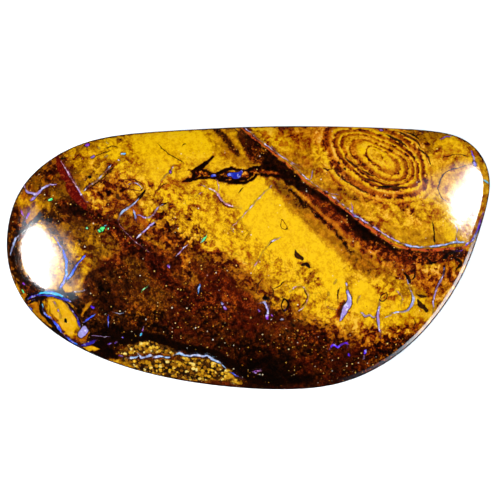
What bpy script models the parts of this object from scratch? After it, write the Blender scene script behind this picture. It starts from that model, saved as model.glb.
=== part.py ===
"""A polished freeform cabochon of boulder opal, lying dome up on its flat sawn back.

The stone grew as one piece of ironstone with opal in its cracks, so it is one object with no joints.
Metres, +Z up. The origin is on the surface that the stone lies on, under the middle of its box, and
+X runs along its length. Run it with: blender --background --python part.py
"""

import math

import bmesh
import bpy
import numpy as np

MM = 0.001

# Driving dimensions: change the length and the outline follows it.
LENGTH = 40.0 * MM
THICKNESS = 4.8 * MM

# The rim's lower part, from the back up: a small ground bevel, then an upright girdle.
GIRDLE_SECTION = (  # distance in from the outline, height above the back
    (0.36 * MM, 0.0),
    (0.11 * MM, 0.14 * MM),
    (0.0, 0.43 * MM),
    (0.0, 1.45 * MM),
)

# The polished shoulder goes on from the girdle's top, and leans in more with each step.
SHOULDER_STEPS = (  # tilt from the horizontal in degrees, length of the step
    (82, 0.14 * MM),
    (70, 0.15 * MM),
    (56, 0.17 * MM),
    (45, 0.34 * MM),
    (36, 0.18 * MM),
)

# The dome levels out over this distance in from the shoulder, at the same slope all round the stone.
DOME_REACH = 4.5 * MM
DOME_WAVES = 24
MIDDLE = (-0.5 * MM, 0.2 * MM)

# How finely the solid is faceted.
ROUND_STEPS = 120
SPLINE_STEPS = 40 * ROUND_STEPS
DOME_RINGS = 17
DOME_RING_BIAS = 1.35
SHARP_ANGLE = math.radians(35)

# The outline seen from above, in millimetres on a stone 40 mm long, clockwise from its left end.
# The upper edge is nearly straight, the right end is a tight round, and the lower right runs slantwise.
OUTLINE = (
    (-20.0, 1.0),
    (-19.15, 5.1),
    (-16.6, 8.0),
    (-12.3, 9.9),
    (-5.7, 10.6),
    (1.0, 10.9),
    (7.6, 10.9),
    (13.4, 10.68),
    (16.85, 10.22),
    (18.95, 8.95),
    (19.98, 6.45),
    (19.4, 3.1),
    (18.0, -0.85),
    (15.8, -4.5),
    (12.55, -7.85),
    (8.0, -10.22),
    (2.6, -10.86),
    (-4.0, -10.36),
    (-10.6, -8.84),
    (-15.95, -6.22),
    (-19.0, -2.85),
)

IRONSTONE_GOLD = (0.42, 0.22, 0.035, 1.0)
POLISHED_ROUGHNESS = 0.1


def clear_scene():
    for obj in list(bpy.data.objects):
        bpy.data.objects.remove(obj, do_unlink=True)


def closed_spline(points, count):
    """count points along the smooth closed cubic B-spline that passes through all the given points."""
    points = np.array(points, float)
    size = len(points)
    weights = (np.roll(np.eye(size), 1, axis=0) + 4 * np.eye(size) + np.roll(np.eye(size), -1, axis=0)) / 6
    control = np.linalg.solve(weights, points)
    along = np.arange(count) * size / count
    first = along.astype(int)
    part = (along - first)[:, None]
    blends = (
        (1 - part) ** 3 / 6,
        (3 * part**3 - 6 * part**2 + 4) / 6,
        (-3 * part**3 + 3 * part**2 + 3 * part + 1) / 6,
        part**3 / 6,
    )
    return sum(blend * control[(first + k - 1) % size] for k, blend in enumerate(blends))


def evenly_spaced(loop, count):
    """The closed loop again, as count points that are the same distance apart along it."""
    closed = np.vstack([loop, loop[:1]])
    walked = np.concatenate([[0], np.cumsum(np.linalg.norm(np.diff(closed, axis=0), axis=1))])
    stops = np.arange(count) * walked[-1] / count
    return np.column_stack([np.interp(stops, walked, closed[:, axis]) for axis in (0, 1)])


def girdle_loop():
    """The stone's outline in metres, counterclockwise, centred on its own box and LENGTH long."""
    loop = closed_spline(OUTLINE[::-1], SPLINE_STEPS)
    low, high = loop.min(axis=0), loop.max(axis=0)
    loop = (loop - (low + high) / 2) * LENGTH / (high[0] - low[0])
    return evenly_spaced(loop, ROUND_STEPS)


def inward_normals(loop):
    """The unit direction into the stone at each point of its counterclockwise outline."""
    ahead = np.roll(loop, -1, axis=0) - np.roll(loop, 1, axis=0)
    ahead /= np.linalg.norm(ahead, axis=1)[:, None]
    return np.column_stack([-ahead[:, 1], ahead[:, 0]])


def rim_section():
    """The rim's section as (distance in from the outline, height), from the back up to the dome's foot."""
    section = list(GIRDLE_SECTION)
    for tilt, length in SHOULDER_STEPS:
        inset, height = section[-1]
        turn = math.radians(tilt)
        section.append((inset + length * math.cos(turn), height + length * math.sin(turn)))
    return section


def dome_shape(foot):
    """A function of points that is 0 round the dome's foot and rises smoothly to nearly 1 inside it.

    It is the height of a stretched skin on a soft bed, whose curvature times DOME_REACH squared is
    its height less 1. exp(way . point / DOME_REACH) is a plain form of that for every way across the
    stone, and least squares finds the mix of ways that brings the whole foot down to 0.
    """
    turns = np.arange(DOME_WAVES) * 2 * math.pi / DOME_WAVES
    ways = np.array([np.cos(turns), np.sin(turns)]) / DOME_REACH
    mix = np.linalg.lstsq(np.exp(foot @ ways), np.ones(len(foot)), rcond=None)[0]
    return lambda points: 1 - np.exp(points @ ways) @ mix


def dome_rings(foot, foot_height):
    """The dome's rings as arrays of points, from just inside its foot to the single middle point."""
    middle = np.array(MIDDLE)
    shares = 1 - (np.arange(1, DOME_RINGS + 1) / DOME_RINGS) ** DOME_RING_BIAS
    flat = np.array([middle + share * (foot - middle) for share in shares])
    shape = dome_shape(foot)(flat)
    height = foot_height + (THICKNESS - foot_height) * shape / shape.max()
    rings = list(np.dstack([flat, height]))
    return rings[:-1] + [rings[-1][:1]]


def stone_rings():
    """Every ring of the stone, from the edge of its flat back up to the middle of the dome."""
    outline = girdle_loop()
    inward = inward_normals(outline)
    rings = [
        np.column_stack([outline + inset * inward, np.full(ROUND_STEPS, height)])
        for inset, height in rim_section()
    ]
    foot = rings[-1]
    return rings + dome_rings(foot[:, :2], foot[0, 2])


def stone_mesh():
    """The closed stone: a flat back, quads from ring to ring, and a fan of faces in the middle."""
    form = bmesh.new()
    *rings, middle = [[form.verts.new(point) for point in ring] for ring in stone_rings()]
    form.faces.new(rings[0][::-1])
    for lower, upper in zip(rings, rings[1:]):
        for here in range(ROUND_STEPS):
            there = (here + 1) % ROUND_STEPS
            form.faces.new((lower[here], lower[there], upper[there], upper[here]))
    last = rings[-1]
    for here in range(ROUND_STEPS):
        form.faces.new((last[here], last[(here + 1) % ROUND_STEPS], middle[0]))
    mesh = bpy.data.meshes.new("boulder_opal")
    form.to_mesh(mesh)
    form.free()
    mesh.shade_smooth()
    mesh.set_sharp_from_angle(angle=SHARP_ANGLE)
    return mesh


def polished_ironstone():
    material = bpy.data.materials.new("polished_ironstone")
    material.use_nodes = True
    shader = material.node_tree.nodes["Principled BSDF"]
    shader.inputs["Base Color"].default_value = IRONSTONE_GOLD
    shader.inputs["Roughness"].default_value = POLISHED_ROUGHNESS
    shader.inputs["Metallic"].default_value = 0.0
    return material


def main():
    clear_scene()
    stone = bpy.data.objects.new("boulder_opal", stone_mesh())
    stone.data.materials.append(polished_ironstone())
    bpy.context.scene.collection.objects.link(stone)


main()
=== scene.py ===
# %% [markdown]
# # A polished boulder opal
#
# Boulder opal is brown and golden ironstone, a sandstone cemented by iron, with thin seams of precious
# opal in its cracks. The cutter keeps the natural outline, saws a flat back, grinds a low dome and
# polishes it like glass. This lesson dresses the plain solid of such a stone: a fine mesh takes its
# place, one material holds the whole pattern, and two softboxes show the polish.

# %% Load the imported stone
import math

import bpy
import numpy as np
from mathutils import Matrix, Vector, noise


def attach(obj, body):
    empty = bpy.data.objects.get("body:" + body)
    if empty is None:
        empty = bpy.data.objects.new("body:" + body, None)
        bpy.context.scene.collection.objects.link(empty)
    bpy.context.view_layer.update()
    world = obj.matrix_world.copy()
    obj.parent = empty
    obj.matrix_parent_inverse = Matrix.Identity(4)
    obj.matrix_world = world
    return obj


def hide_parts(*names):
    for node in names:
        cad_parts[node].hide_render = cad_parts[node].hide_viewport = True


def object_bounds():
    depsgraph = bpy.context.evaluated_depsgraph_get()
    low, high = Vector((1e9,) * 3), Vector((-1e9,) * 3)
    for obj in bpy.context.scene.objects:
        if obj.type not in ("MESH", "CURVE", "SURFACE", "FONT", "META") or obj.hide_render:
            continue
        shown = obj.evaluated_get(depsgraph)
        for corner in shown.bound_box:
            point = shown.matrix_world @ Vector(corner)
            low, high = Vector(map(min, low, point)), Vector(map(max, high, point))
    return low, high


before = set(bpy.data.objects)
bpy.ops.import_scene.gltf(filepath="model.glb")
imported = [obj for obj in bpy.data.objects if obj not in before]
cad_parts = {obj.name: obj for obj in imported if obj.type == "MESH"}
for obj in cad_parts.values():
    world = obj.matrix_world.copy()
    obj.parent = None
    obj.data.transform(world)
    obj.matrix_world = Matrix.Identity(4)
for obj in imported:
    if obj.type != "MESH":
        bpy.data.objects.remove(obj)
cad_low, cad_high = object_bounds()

STONE = "boulder_opal"
MM = 0.001
LENGTH = cad_high.x - cad_low.x
print("the stone is", [round(size / MM, 2) for size in cad_high - cad_low], "mm")

# %% [markdown]
# ## The photograph's frame
#
# The pattern of a stone is a one-off, so it has to be laid out from the picture. One scale links the
# two: the stone's length in millimetres and in pixels. Everything placed below is a pixel of the
# picture, and this scale turns it into a place on the stone.

# %% Link pixels to millimetres
PICTURE_WIDTH = 500
STONE_PIXELS = 483
STONE_MIDDLE_PIXEL = (248.25, 257.75)
PIXEL = LENGTH / STONE_PIXELS


def to_pixels(points):
    """Plan positions in metres, as pixels of the picture, whose rows count downwards."""
    column = STONE_MIDDLE_PIXEL[0] + points[:, 0] / PIXEL
    row = STONE_MIDDLE_PIXEL[1] - points[:, 1] / PIXEL
    return np.column_stack([column, row])


print("one pixel is", round(PIXEL / MM, 4), "mm")

# %% [markdown]
# ## The camera
#
# The picture looks straight down on the dome from far away, with no visible perspective. A long lens
# high above gives that, and keeps working when the camera is moved round the stone.

# %% Hang the camera above the stone
CAMERA_HEIGHT = 0.45
GIRDLE_LEVEL = 1.5 * MM

camera = bpy.data.objects.new("camera", bpy.data.cameras.new("camera"))
bpy.context.scene.collection.objects.link(camera)
camera.data.lens = camera.data.sensor_width * (CAMERA_HEIGHT - GIRDLE_LEVEL) / (PICTURE_WIDTH * PIXEL)
camera.location = (
    (PICTURE_WIDTH / 2 - STONE_MIDDLE_PIXEL[0]) * PIXEL,
    (STONE_MIDDLE_PIXEL[1] - PICTURE_WIDTH / 2) * PIXEL,
    CAMERA_HEIGHT,
)
bpy.context.scene.camera = camera
bpy.context.scene.view_settings.view_transform = "Standard"
print("lens", round(camera.data.lens), "mm")

# %% [markdown]
# ## Reading the solid
#
# The construction solid has level rings of corners up its rim, and a dome above the highest of them.
# The rings give the outline and the section of the rim. The dome is read as a smooth function that is
# fitted to its corners, a mix of curves that each rise one way, so the fine mesh has a height anywhere.

# %% Find the rim's level rings
RING_CORNERS = 100
SAME_LEVEL = 0.004 * MM

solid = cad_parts[STONE].data
corners = np.array([vertex.co for vertex in solid.vertices], float)
corners = np.unique(np.round(corners / (SAME_LEVEL / 4)), axis=0) * (SAME_LEVEL / 4)


def level_rings():
    """The rim's rings from the back up, each as its height and its corners in order of direction."""
    rings = []
    levels, counts = np.unique(np.round(corners[:, 2] / SAME_LEVEL), return_counts=True)
    for level in levels[counts >= RING_CORNERS]:
        ring = corners[np.abs(corners[:, 2] - level * SAME_LEVEL) < SAME_LEVEL]
        order = np.argsort(np.arctan2(ring[:, 1], ring[:, 0]))
        rings.append((ring[0, 2], ring[order, :2]))
    return rings


rings = level_rings()
outline_corners = max(rings, key=lambda ring: np.ptp(ring[1][:, 0]))[1]
section = np.array([((LENGTH - np.ptp(ring[:, 0])) / 2, height) for height, ring in rings])
print(len(rings), "rings up the rim, insets and heights in mm:", np.round(section / MM, 2).tolist())

# %% Fit the dome
DOME_REACH = 4.5 * MM
DOME_CURVES = 24
FOOT_HEIGHT = section[-1, 1]

curve_turns = np.arange(DOME_CURVES) * 2 * math.pi / DOME_CURVES
curve_ways = np.array([np.cos(curve_turns), np.sin(curve_turns)]) / DOME_REACH


def dome_curves(points):
    """One column for each curve, and a last one for the level top."""
    return np.column_stack([np.exp(points @ curve_ways), np.ones(len(points))])


dome_corners = corners[corners[:, 2] >= FOOT_HEIGHT - SAME_LEVEL]
dome_mix = np.linalg.lstsq(dome_curves(dome_corners[:, :2]), dome_corners[:, 2], rcond=None)[0]
dome_misses = dome_curves(dome_corners[:, :2]) @ dome_mix - dome_corners[:, 2]
print("the fitted dome misses the solid by", round(np.abs(dome_misses).max() / MM, 4), "mm at most")

# %% [markdown]
# ## A fine mesh
#
# A wheel of triangles would crowd in the middle. A rectangle of even squares, bent so that its four
# sides together make the oval, keeps all the faces about the same size, and that matters here, because
# the pattern's routes are stored on the corners. Rows of faces then go down the shoulder and the
# girdle, and under the stone a grid three times as coarse closes the flat back.

# %% Draw the smooth outline
# The oval is the round that the outline comes close to, and tells which way each of its places lies.
OVAL_MIDDLE = np.array([-0.2, 0.3]) * MM
OVAL_HALVES = np.array([19.6, 10.6]) * MM
SPLINE_STEPS = 40


def closed_spline(points, steps):
    """A smooth closed curve through the points, with that many steps from each point to the next."""
    size = len(points)
    weights = (np.roll(np.eye(size), 1, axis=0) + 4 * np.eye(size) + np.roll(np.eye(size), -1, axis=0)) / 6
    control = np.linalg.solve(weights, points)
    along = np.arange(size * steps) / steps
    first = along.astype(int)
    part = (along - first)[:, None]
    blends = (
        (1 - part) ** 3 / 6,
        (3 * part**3 - 6 * part**2 + 4) / 6,
        (-3 * part**3 + 3 * part**2 + 3 * part + 1) / 6,
        part**3 / 6,
    )
    return sum(blend * control[(first + k - 1) % size] for k, blend in enumerate(blends))


def turns_of(points):
    """The direction of each point from the middle."""
    return np.arctan2(points[:, 1], points[:, 0])


smooth_outline = closed_spline(outline_corners, SPLINE_STEPS)


def outline_at(disc_turns):
    """The outline's point for each direction on the disc."""
    wanted = np.arctan2(OVAL_HALVES[1] * np.sin(disc_turns), OVAL_HALVES[0] * np.cos(disc_turns))
    found = turns_of(smooth_outline - OVAL_MIDDLE)
    order = np.argsort(found)
    return np.column_stack(
        [np.interp(wanted, found[order], smooth_outline[order, axis], period=2 * math.pi) for axis in (0, 1)]
    )


def inward_normals(loop):
    """For each point of a loop that runs counterclockwise, the level direction straight inwards."""
    ahead = np.roll(loop, -1, axis=0) - np.roll(loop, 1, axis=0)
    ahead /= np.linalg.norm(ahead, axis=1)[:, None]
    return np.column_stack([-ahead[:, 1], ahead[:, 0]])


print("the smooth outline has", len(smooth_outline), "points")

# %% Bend a square grid into the outline
GRID_LONG, GRID_SHORT = 372, 186
COARSER = 3


def grid_on_disc(long_count, short_count):
    """The bent grid's points on a round disc of radius 1, row by row."""
    across = np.linspace(-1, 1, long_count + 1)
    up = np.linspace(-1, 1, short_count + 1)
    wide, high = np.meshgrid(across, up)
    bent_wide = wide * np.sqrt(1 - high**2 / 2)
    bent_high = high * np.sqrt(1 - wide**2 / 2)
    return np.column_stack([bent_wide.ravel(), bent_high.ravel()])


def grid_border(long_count, short_count):
    """The numbers of the grid's border points, counterclockwise from its lower left corner."""
    number = np.arange((long_count + 1) * (short_count + 1)).reshape(short_count + 1, long_count + 1)
    return np.concatenate([number[0, :-1], number[:-1, -1], number[-1, :0:-1], number[:0:-1, 0]])


def fill_loop(disc, border, loop):
    """Spreads the disc's points over the loop, whose points are where the disc's border goes."""
    radius = np.minimum(np.linalg.norm(disc, axis=1), 1)[:, None]
    turns = turns_of(disc)
    border_turns = turns[border]
    order = np.argsort(border_turns)
    edge = np.column_stack(
        [np.interp(turns, border_turns[order], loop[order, axis], period=2 * math.pi) for axis in (0, 1)]
    )
    oval = np.column_stack([np.cos(turns), np.sin(turns)]) * OVAL_HALVES
    return OVAL_MIDDLE + oval * radius + (edge - OVAL_MIDDLE - oval) * radius**3


disc = grid_on_disc(GRID_LONG, GRID_SHORT)
border = grid_border(GRID_LONG, GRID_SHORT)
outline = outline_at(turns_of(disc[border]))
inward = inward_normals(outline)
foot = outline + section[-1, 0] * inward
print(len(disc), "points on the dome,", len(border), "round its edge")

# %% [markdown]
# ## Height of the polish
#
# A stone polished by hand is never quite even: the wheel leaves broad, very shallow waves. They are far
# too low to see as shape, but they bend the reflections, so a few are added to the fitted dome.

# %% Lift the dome
WAVE_HEIGHT = 0.012 * MM
WAVE_LENGTHS = (9.0 * MM, 6.5 * MM, 5.0 * MM, 3.8 * MM, 3.1 * MM)
WAVES_START = 0.12
WAVES_SEED = 7

chance = np.random.default_rng(WAVES_SEED)
hand_waves = [(length, chance.uniform(0, math.pi), chance.uniform(0, 2 * math.pi)) for length in WAVE_LENGTHS]


def hand_polish(points):
    """The wheel's waves, in metres above or below the even dome."""
    lift = np.zeros(len(points))
    for length, turn, start in hand_waves:
        along = points @ np.array([math.cos(turn), math.sin(turn)])
        lift += WAVE_HEIGHT * (length / WAVE_LENGTHS[0]) * np.sin(along * 2 * math.pi / length + start)
    return lift


def fade_in(distance, reach):
    """0 at no distance, 1 from reach on, smooth at both ends."""
    share = np.clip(distance / reach, 0, 1)
    return share * share * (3 - 2 * share)


top_plan = fill_loop(disc, border, foot)
disc_edge = 1 - np.linalg.norm(disc, axis=1)
top_height = dome_curves(top_plan) @ dome_mix + hand_polish(top_plan) * fade_in(disc_edge, WAVES_START)
top_height[border] = FOOT_HEIGHT
print("the dome rises to", round(top_height.max() / MM, 2), "mm")

# %% Go down the rim
# The section is softened over this many of its steps. The rows of points crowd where it turns, and an
# even share of them is left for where it runs straight.
RIM_ROWS = 15
SECTION_STEPS = 400
SOFTENED_STEPS = 31
EVEN_SHARE = 0.15


def smooth_section():
    """The rim's section from the dome's foot down to the back, as rows of (inset, height)."""
    corners_down = section[::-1]
    steps = np.linalg.norm(np.diff(corners_down, axis=0), axis=1)
    along = np.concatenate([[0], np.cumsum(steps)])
    fine = np.linspace(0, along[-1], SECTION_STEPS)
    sharp = np.column_stack([np.interp(fine, along, corners_down[:, axis]) for axis in (0, 1)])
    kernel = np.hanning(SOFTENED_STEPS)
    kernel /= kernel.sum()
    pad = len(kernel) // 2
    before = 2 * sharp[0] - sharp[pad:0:-1]
    after = 2 * sharp[-1] - sharp[-2 : -pad - 2 : -1]
    padded = np.vstack([before, sharp, after])
    soft = np.column_stack([np.convolve(padded[:, axis], kernel, "valid") for axis in (0, 1)])
    turning = np.linalg.norm(np.diff(soft, 2, axis=0), axis=1)
    even = EVEN_SHARE * turning.max()
    weight = np.concatenate([[0], np.cumsum(even + turning), [0]])
    weight[-1] = weight[-2] + even
    stops = np.linspace(0, weight[-1], RIM_ROWS + 1)[1:]
    return np.column_stack([np.interp(stops, weight, soft[:, axis]) for axis in (0, 1)])


rim_rows = [
    np.column_stack([outline + inset * inward, np.full(len(outline), max(height, 0.0))])
    for inset, height in smooth_section()
]
print(len(rim_rows), "rows down the rim, the last at height", round(rim_rows[-1][0, 2] / MM, 3), "mm")

# %% Stack the points of the dome, the rim and the back
coarse_disc = grid_on_disc(GRID_LONG // COARSER, GRID_SHORT // COARSER)
coarse_border = grid_border(GRID_LONG // COARSER, GRID_SHORT // COARSER)
BACK_STEP = 0.3 * MM
back_loop = rim_rows[-1][::COARSER, :2] + BACK_STEP * inward[::COARSER]
back_plan = fill_loop(coarse_disc, coarse_border, back_loop)

parts = [np.column_stack([top_plan, top_height])]
parts += rim_rows
parts += [np.column_stack([back_plan, np.full(len(back_plan), rim_rows[-1][0, 2])])]
starts = np.cumsum([0] + [len(part) for part in parts])
points = np.vstack(parts)
print(len(points), "points")


# %% Lay faces between the points
def grid_faces(long_count, short_count, start, flip):
    """The grid's faces, from its first point's number on, seen from above or, flipped, from below."""
    number = start + np.arange((long_count + 1) * (short_count + 1)).reshape(short_count + 1, long_count + 1)
    faces = np.stack([number[:-1, :-1], number[:-1, 1:], number[1:, 1:], number[1:, :-1]], axis=-1)
    faces = faces.reshape(-1, 4)
    return (faces[:, ::-1] if flip else faces).tolist()


def band_faces(upper, lower):
    """Faces between two closed rows of points, seen from outside with the first row on top."""
    upper_next, lower_next = np.roll(upper, -1), np.roll(lower, -1)
    return np.stack([lower, lower_next, upper_next, upper], axis=-1).tolist()


rows = [border] + [starts[k + 1] + np.arange(len(border)) for k in range(len(rim_rows))]
faces = grid_faces(GRID_LONG, GRID_SHORT, 0, flip=False)
for upper, lower in zip(rows, rows[1:]):
    faces += band_faces(upper, lower)
back_start = starts[-2]
back_row = back_start + coarse_border
for j in range(len(back_row)):
    fine = [int(rows[-1][(COARSER * j + k) % len(border)]) for k in range(COARSER + 1)]
    faces.append([int(back_row[j]), int(back_row[(j + 1) % len(back_row)])] + fine[::-1])
faces += grid_faces(GRID_LONG // COARSER, GRID_SHORT // COARSER, back_start, flip=True)
print(len(faces), "faces")

# %% Put the stone in its place
mesh = bpy.data.meshes.new("polished_stone")
mesh.from_pydata(points.tolist(), [], faces)
mesh.validate()
mesh.shade_smooth()
mesh.calc_loop_triangles()
stone = bpy.data.objects.new("polished_stone", mesh)
bpy.context.scene.collection.objects.link(stone)
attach(stone, "root")
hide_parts(STONE)
print(len(mesh.loop_triangles), "triangles")

# %% [markdown]
# ## The ground of the stone
#
# Ironstone is gold where little iron stained it, rust where more did, and black where iron filled it.
# Two numbers on every corner hold that: tone, from black to the brightest gold, and rust, from yellow
# to red. Broad areas and bands are laid over each other in the order below, each with soft edges, and
# noise in the material will break the edges up. The lists are outlines and routes in the picture's
# pixels.

# %% Areas of the ground
# Each area has its tone, its rust, how much it is mottled, the softness of its edge and its outline.
BASE_TONE, BASE_RUST, BASE_MOTTLE = 0.7, 0.12, 0.6
AREAS = {
    "upper left gold": (0.83, 0.05, 0.55, 12, (
        (98, 142), (130, 127), (208, 122), (217, 150), (262, 180), (240, 192), (205, 200), (190, 192),
        (165, 188), (150, 184), (138, 178), (120, 168), (103, 158))),
    "brightest gold at the top": (0.95, 0.03, 0.4, 7, (
        (128, 136), (150, 126), (190, 122), (212, 145), (210, 157), (180, 160), (168, 178), (152, 184),
        (146, 162), (136, 150))),
    "golden middle": (0.83, 0.08, 0.75, 9, (
        (187, 180), (220, 182), (262, 180), (275, 190), (292, 210), (320, 237), (338, 255), (345, 275),
        (345, 300), (350, 320), (330, 318), (300, 300), (288, 284), (268, 272), (256, 262), (236, 257),
        (222, 247), (205, 228), (196, 210), (187, 197))),
    "brightest gold in the middle": (0.97, 0.02, 0.4, 7, (
        (218, 186), (262, 181), (274, 192), (290, 210), (317, 237), (335, 253), (342, 270), (345, 285),
        (340, 309), (330, 302), (323, 287), (311, 265), (288, 260), (275, 250), (260, 242), (246, 225),
        (236, 204))),
    "gold below the middle": (0.82, 0.1, 0.7, 7, (
        (288, 262), (315, 268), (330, 300), (352, 280), (378, 273), (392, 285), (400, 300), (425, 300),
        (420, 315), (395, 325), (360, 328), (340, 322), (318, 315), (295, 300), (283, 285))),
    "pale gold by the sliver": (0.95, 0.03, 0.4, 5, (
        (351, 284), (362, 280), (375, 288), (376, 313), (362, 318), (352, 306))),
    "mottled left": (0.59, 0.33, 0.66, 10, (
        (78, 172), (110, 162), (150, 185), (182, 198), (196, 222), (220, 250), (238, 262), (250, 280),
        (262, 292), (240, 292), (215, 262), (185, 260), (160, 243), (120, 222), (87, 203))),
    "brighter mottle": (0.68, 0.2, 0.95, 7, (
        (150, 186), (182, 197), (198, 222), (224, 250), (244, 264), (234, 268), (206, 252), (182, 236),
        (160, 216), (147, 200))),
    "dark lower side": (0.28, 0.5, 0.36, 9, (
        (70, 200), (87, 203), (120, 224), (138, 235), (160, 245), (178, 252), (190, 263), (218, 265),
        (232, 277), (245, 291), (265, 303), (282, 311), (322, 326), (342, 339), (372, 348), (405, 337),
        (424, 342), (385, 376), (330, 392), (250, 396), (170, 386), (110, 354), (85, 342), (80, 310),
        (85, 285), (95, 262), (116, 255), (115, 240), (95, 222), (75, 215))),
    "lighter brown in the dark": (0.31, 0.35, 0.33, 8, (
        (122, 253), (140, 262), (160, 285), (172, 295), (160, 305), (150, 312), (135, 318), (124, 300),
        (130, 280))),
    "red brown in the dark": (0.32, 0.68, 0.34, 7, (
        (190, 260), (216, 262), (232, 280), (244, 293), (262, 304), (287, 314), (288, 330), (262, 332),
        (240, 312), (220, 300), (195, 285))),
    "dark patch left of the middle": (0.2, 0.3, 0.42, 8, (
        (86, 272), (110, 265), (130, 272), (132, 295), (119, 311), (100, 313), (88, 296))),
    "deep bottom": (0.19, 0.5, 0.36, 9, (
        (132, 318), (170, 318), (215, 316), (262, 330), (310, 340), (352, 348), (378, 352), (372, 373),
        (330, 390), (250, 394), (225, 374), (200, 354), (170, 342))),
    "deep bottom, left": (0.12, 0.25, 0.45, 6, (
        (85, 322), (110, 318), (132, 325), (150, 320), (168, 325), (166, 343), (130, 345), (100, 354),
        (88, 341))),
    "deep bottom, middle": (0.13, 0.4, 0.38, 7, (
        (216, 340), (265, 337), (296, 346), (294, 384), (250, 387), (232, 369), (218, 352))),
    "deep bottom, right": (0.17, 0.5, 0.4, 7, (
        (294, 350), (330, 349), (375, 352), (387, 358), (372, 372), (330, 380), (300, 384))),
    "black in the deep bottom": (0.04, 0.3, 0.3, 5, (
        (246, 362), (262, 356), (286, 359), (293, 372), (284, 384), (258, 386), (244, 373))),
    "black left of the lens": (0.03, 0.2, 0.3, 5, (
        (95, 331), (115, 328), (131, 331), (129, 341), (111, 346), (113, 355), (99, 352), (96, 340))),
    "brown by the gleam": (0.45, 0.2, 0.45, 7, (
        (64, 225), (84, 219), (102, 220), (120, 240), (116, 252), (100, 264), (84, 278), (68, 285),
        (66, 250))),
    "brown left end": (0.45, 0.35, 0.35, 5, (
        (24, 176), (55, 156), (76, 170), (86, 196), (60, 197), (40, 201), (22, 197))),
    "darkest of the left end": (0.33, 0.4, 0.5, 4, ((38, 170), (54, 163), (54, 178), (40, 183))),
    "gold of the left end": (0.62, 0.2, 0.45, 5, (
        (27, 197), (50, 200), (50, 216), (60, 224), (40, 216), (24, 228), (18, 212))),
    "dark under the wedge": (0.32, 0.3, 0.4, 6, (
        (52, 200), (70, 196), (94, 207), (108, 222), (92, 224), (70, 226), (52, 215))),
    "left rim": (0.24, 0.4, 0.6, 5, (
        (4, 214), (18, 204), (21, 225), (19, 248), (22, 270), (12, 272), (3, 245))),
    "upper hatch": (0.7, 0.22, 0.4, 4, (
        (206, 124), (238, 126), (254, 146), (258, 164), (240, 166), (224, 152), (212, 138))),
    "flank above the seam": (0.69, 0.3, 0.45, 5, (
        (262, 126), (312, 126), (320, 155), (340, 178), (352, 196), (330, 196), (300, 172), (275, 148))),
    "flank above the seam, right": (0.79, 0.22, 0.5, 5, (
        (342, 182), (372, 198), (420, 196), (440, 206), (456, 238), (420, 243), (395, 238), (362, 216),
        (346, 202))),
    "smoke above the seam": (0.73, 0.2, 0.3, 2, (
        (376, 222), (412, 231), (436, 234), (448, 240), (424, 245), (396, 239))),
    "orange left of the rings": (0.78, 0.5, 0.7, 4, (
        (312, 127), (330, 126), (333, 145), (341, 163), (331, 166), (321, 156), (314, 142))),
    "orange round the rings": (0.6, 0.55, 0.6, 4, (
        (318, 160), (329, 152), (343, 172), (370, 189), (402, 191), (388, 199), (362, 193), (338, 177),
        (324, 166))),
    "brown above the rings": (0.56, 0.3, 0.7, 6, (
        (386, 126), (418, 128), (430, 144), (424, 158), (408, 150), (394, 140))),
    "gold right of the rings": (0.82, 0.28, 0.5, 6, (
        (424, 160), (446, 150), (452, 180), (446, 215), (430, 205), (426, 185))),
    "yellow corner": (0.88, 0.05, 0.4, 4, ((438, 142), (455, 137), (468, 147), (464, 154), (446, 155))),
    "right end": (0.82, 0.2, 0.5, 5, (
        (456, 160), (472, 150), (486, 172), (490, 196), (482, 222), (468, 244), (452, 240), (448, 205))),
    "rusty lower right": (0.66, 0.5, 0.75, 6, (
        (374, 262), (400, 264), (430, 266), (470, 254), (456, 286), (436, 300), (420, 290), (402, 280))),
    "brown in the lower right": (0.62, 0.5, 0.7, 4, (
        (428, 284), (442, 278), (452, 284), (446, 298), (430, 302))),
    "gold lower right": (0.92, 0.15, 0.55, 6, (
        (384, 300), (412, 296), (436, 304), (428, 318), (400, 322), (384, 316))),
    "brown above the dark": (0.7, 0.35, 0.75, 6, (
        (346, 322), (372, 326), (398, 326), (422, 322), (414, 336), (384, 342), (356, 340), (340, 332))),
    "dark lower right": (0.24, 0.5, 0.6, 5, (
        (372, 344), (414, 334), (420, 340), (404, 354), (372, 378), (352, 374), (362, 352))),
    "smoke under the band": (0.66, 0.3, 0.34, 10, (
        (268, 180), (290, 186), (302, 200), (318, 214), (334, 228), (348, 240), (366, 250), (384, 262),
        (388, 278), (372, 276), (350, 264), (330, 248), (312, 232), (294, 212), (278, 196))),
    "red flank of the band": (0.34, 0.75, 0.5, 3, (
        (300, 191), (316, 196), (330, 203), (342, 213), (354, 224), (364, 236), (384, 245), (410, 255),
        (440, 250), (466, 252), (452, 261), (436, 263), (418, 264), (402, 265), (388, 261), (374, 256),
        (360, 247), (346, 236), (338, 226), (326, 216), (314, 205), (302, 197))),
    "brown in the top of the band": (0.2, 0.5, 0.42, 4, (
        (238, 128), (248, 134), (262, 146), (262, 166), (254, 164), (246, 152), (238, 140))),
    "black of the band": (0.05, 0.4, 0.35, 3, (
        (240, 128), (252, 138), (262, 146), (272, 153.5), (281, 161), (290, 168), (297, 174), (304, 182.5),
        (314, 189), (326, 197), (337, 205), (346, 212.5), (356, 219.5), (368, 229.5), (382, 239.5),
        (396, 247), (410, 251), (430, 252), (410, 255), (396, 252), (382, 245.5), (374, 242), (364, 241),
        (354, 236), (348, 226), (341, 216), (330, 204), (318, 198.5), (308, 194.5), (302, 191),
        (295, 187), (288, 183), (278, 178), (266, 177), (259, 171), (262, 160), (266, 153), (256, 145),
        (246, 137))),
}
print(len(AREAS), "areas on a ground of tone", BASE_TONE)

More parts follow.
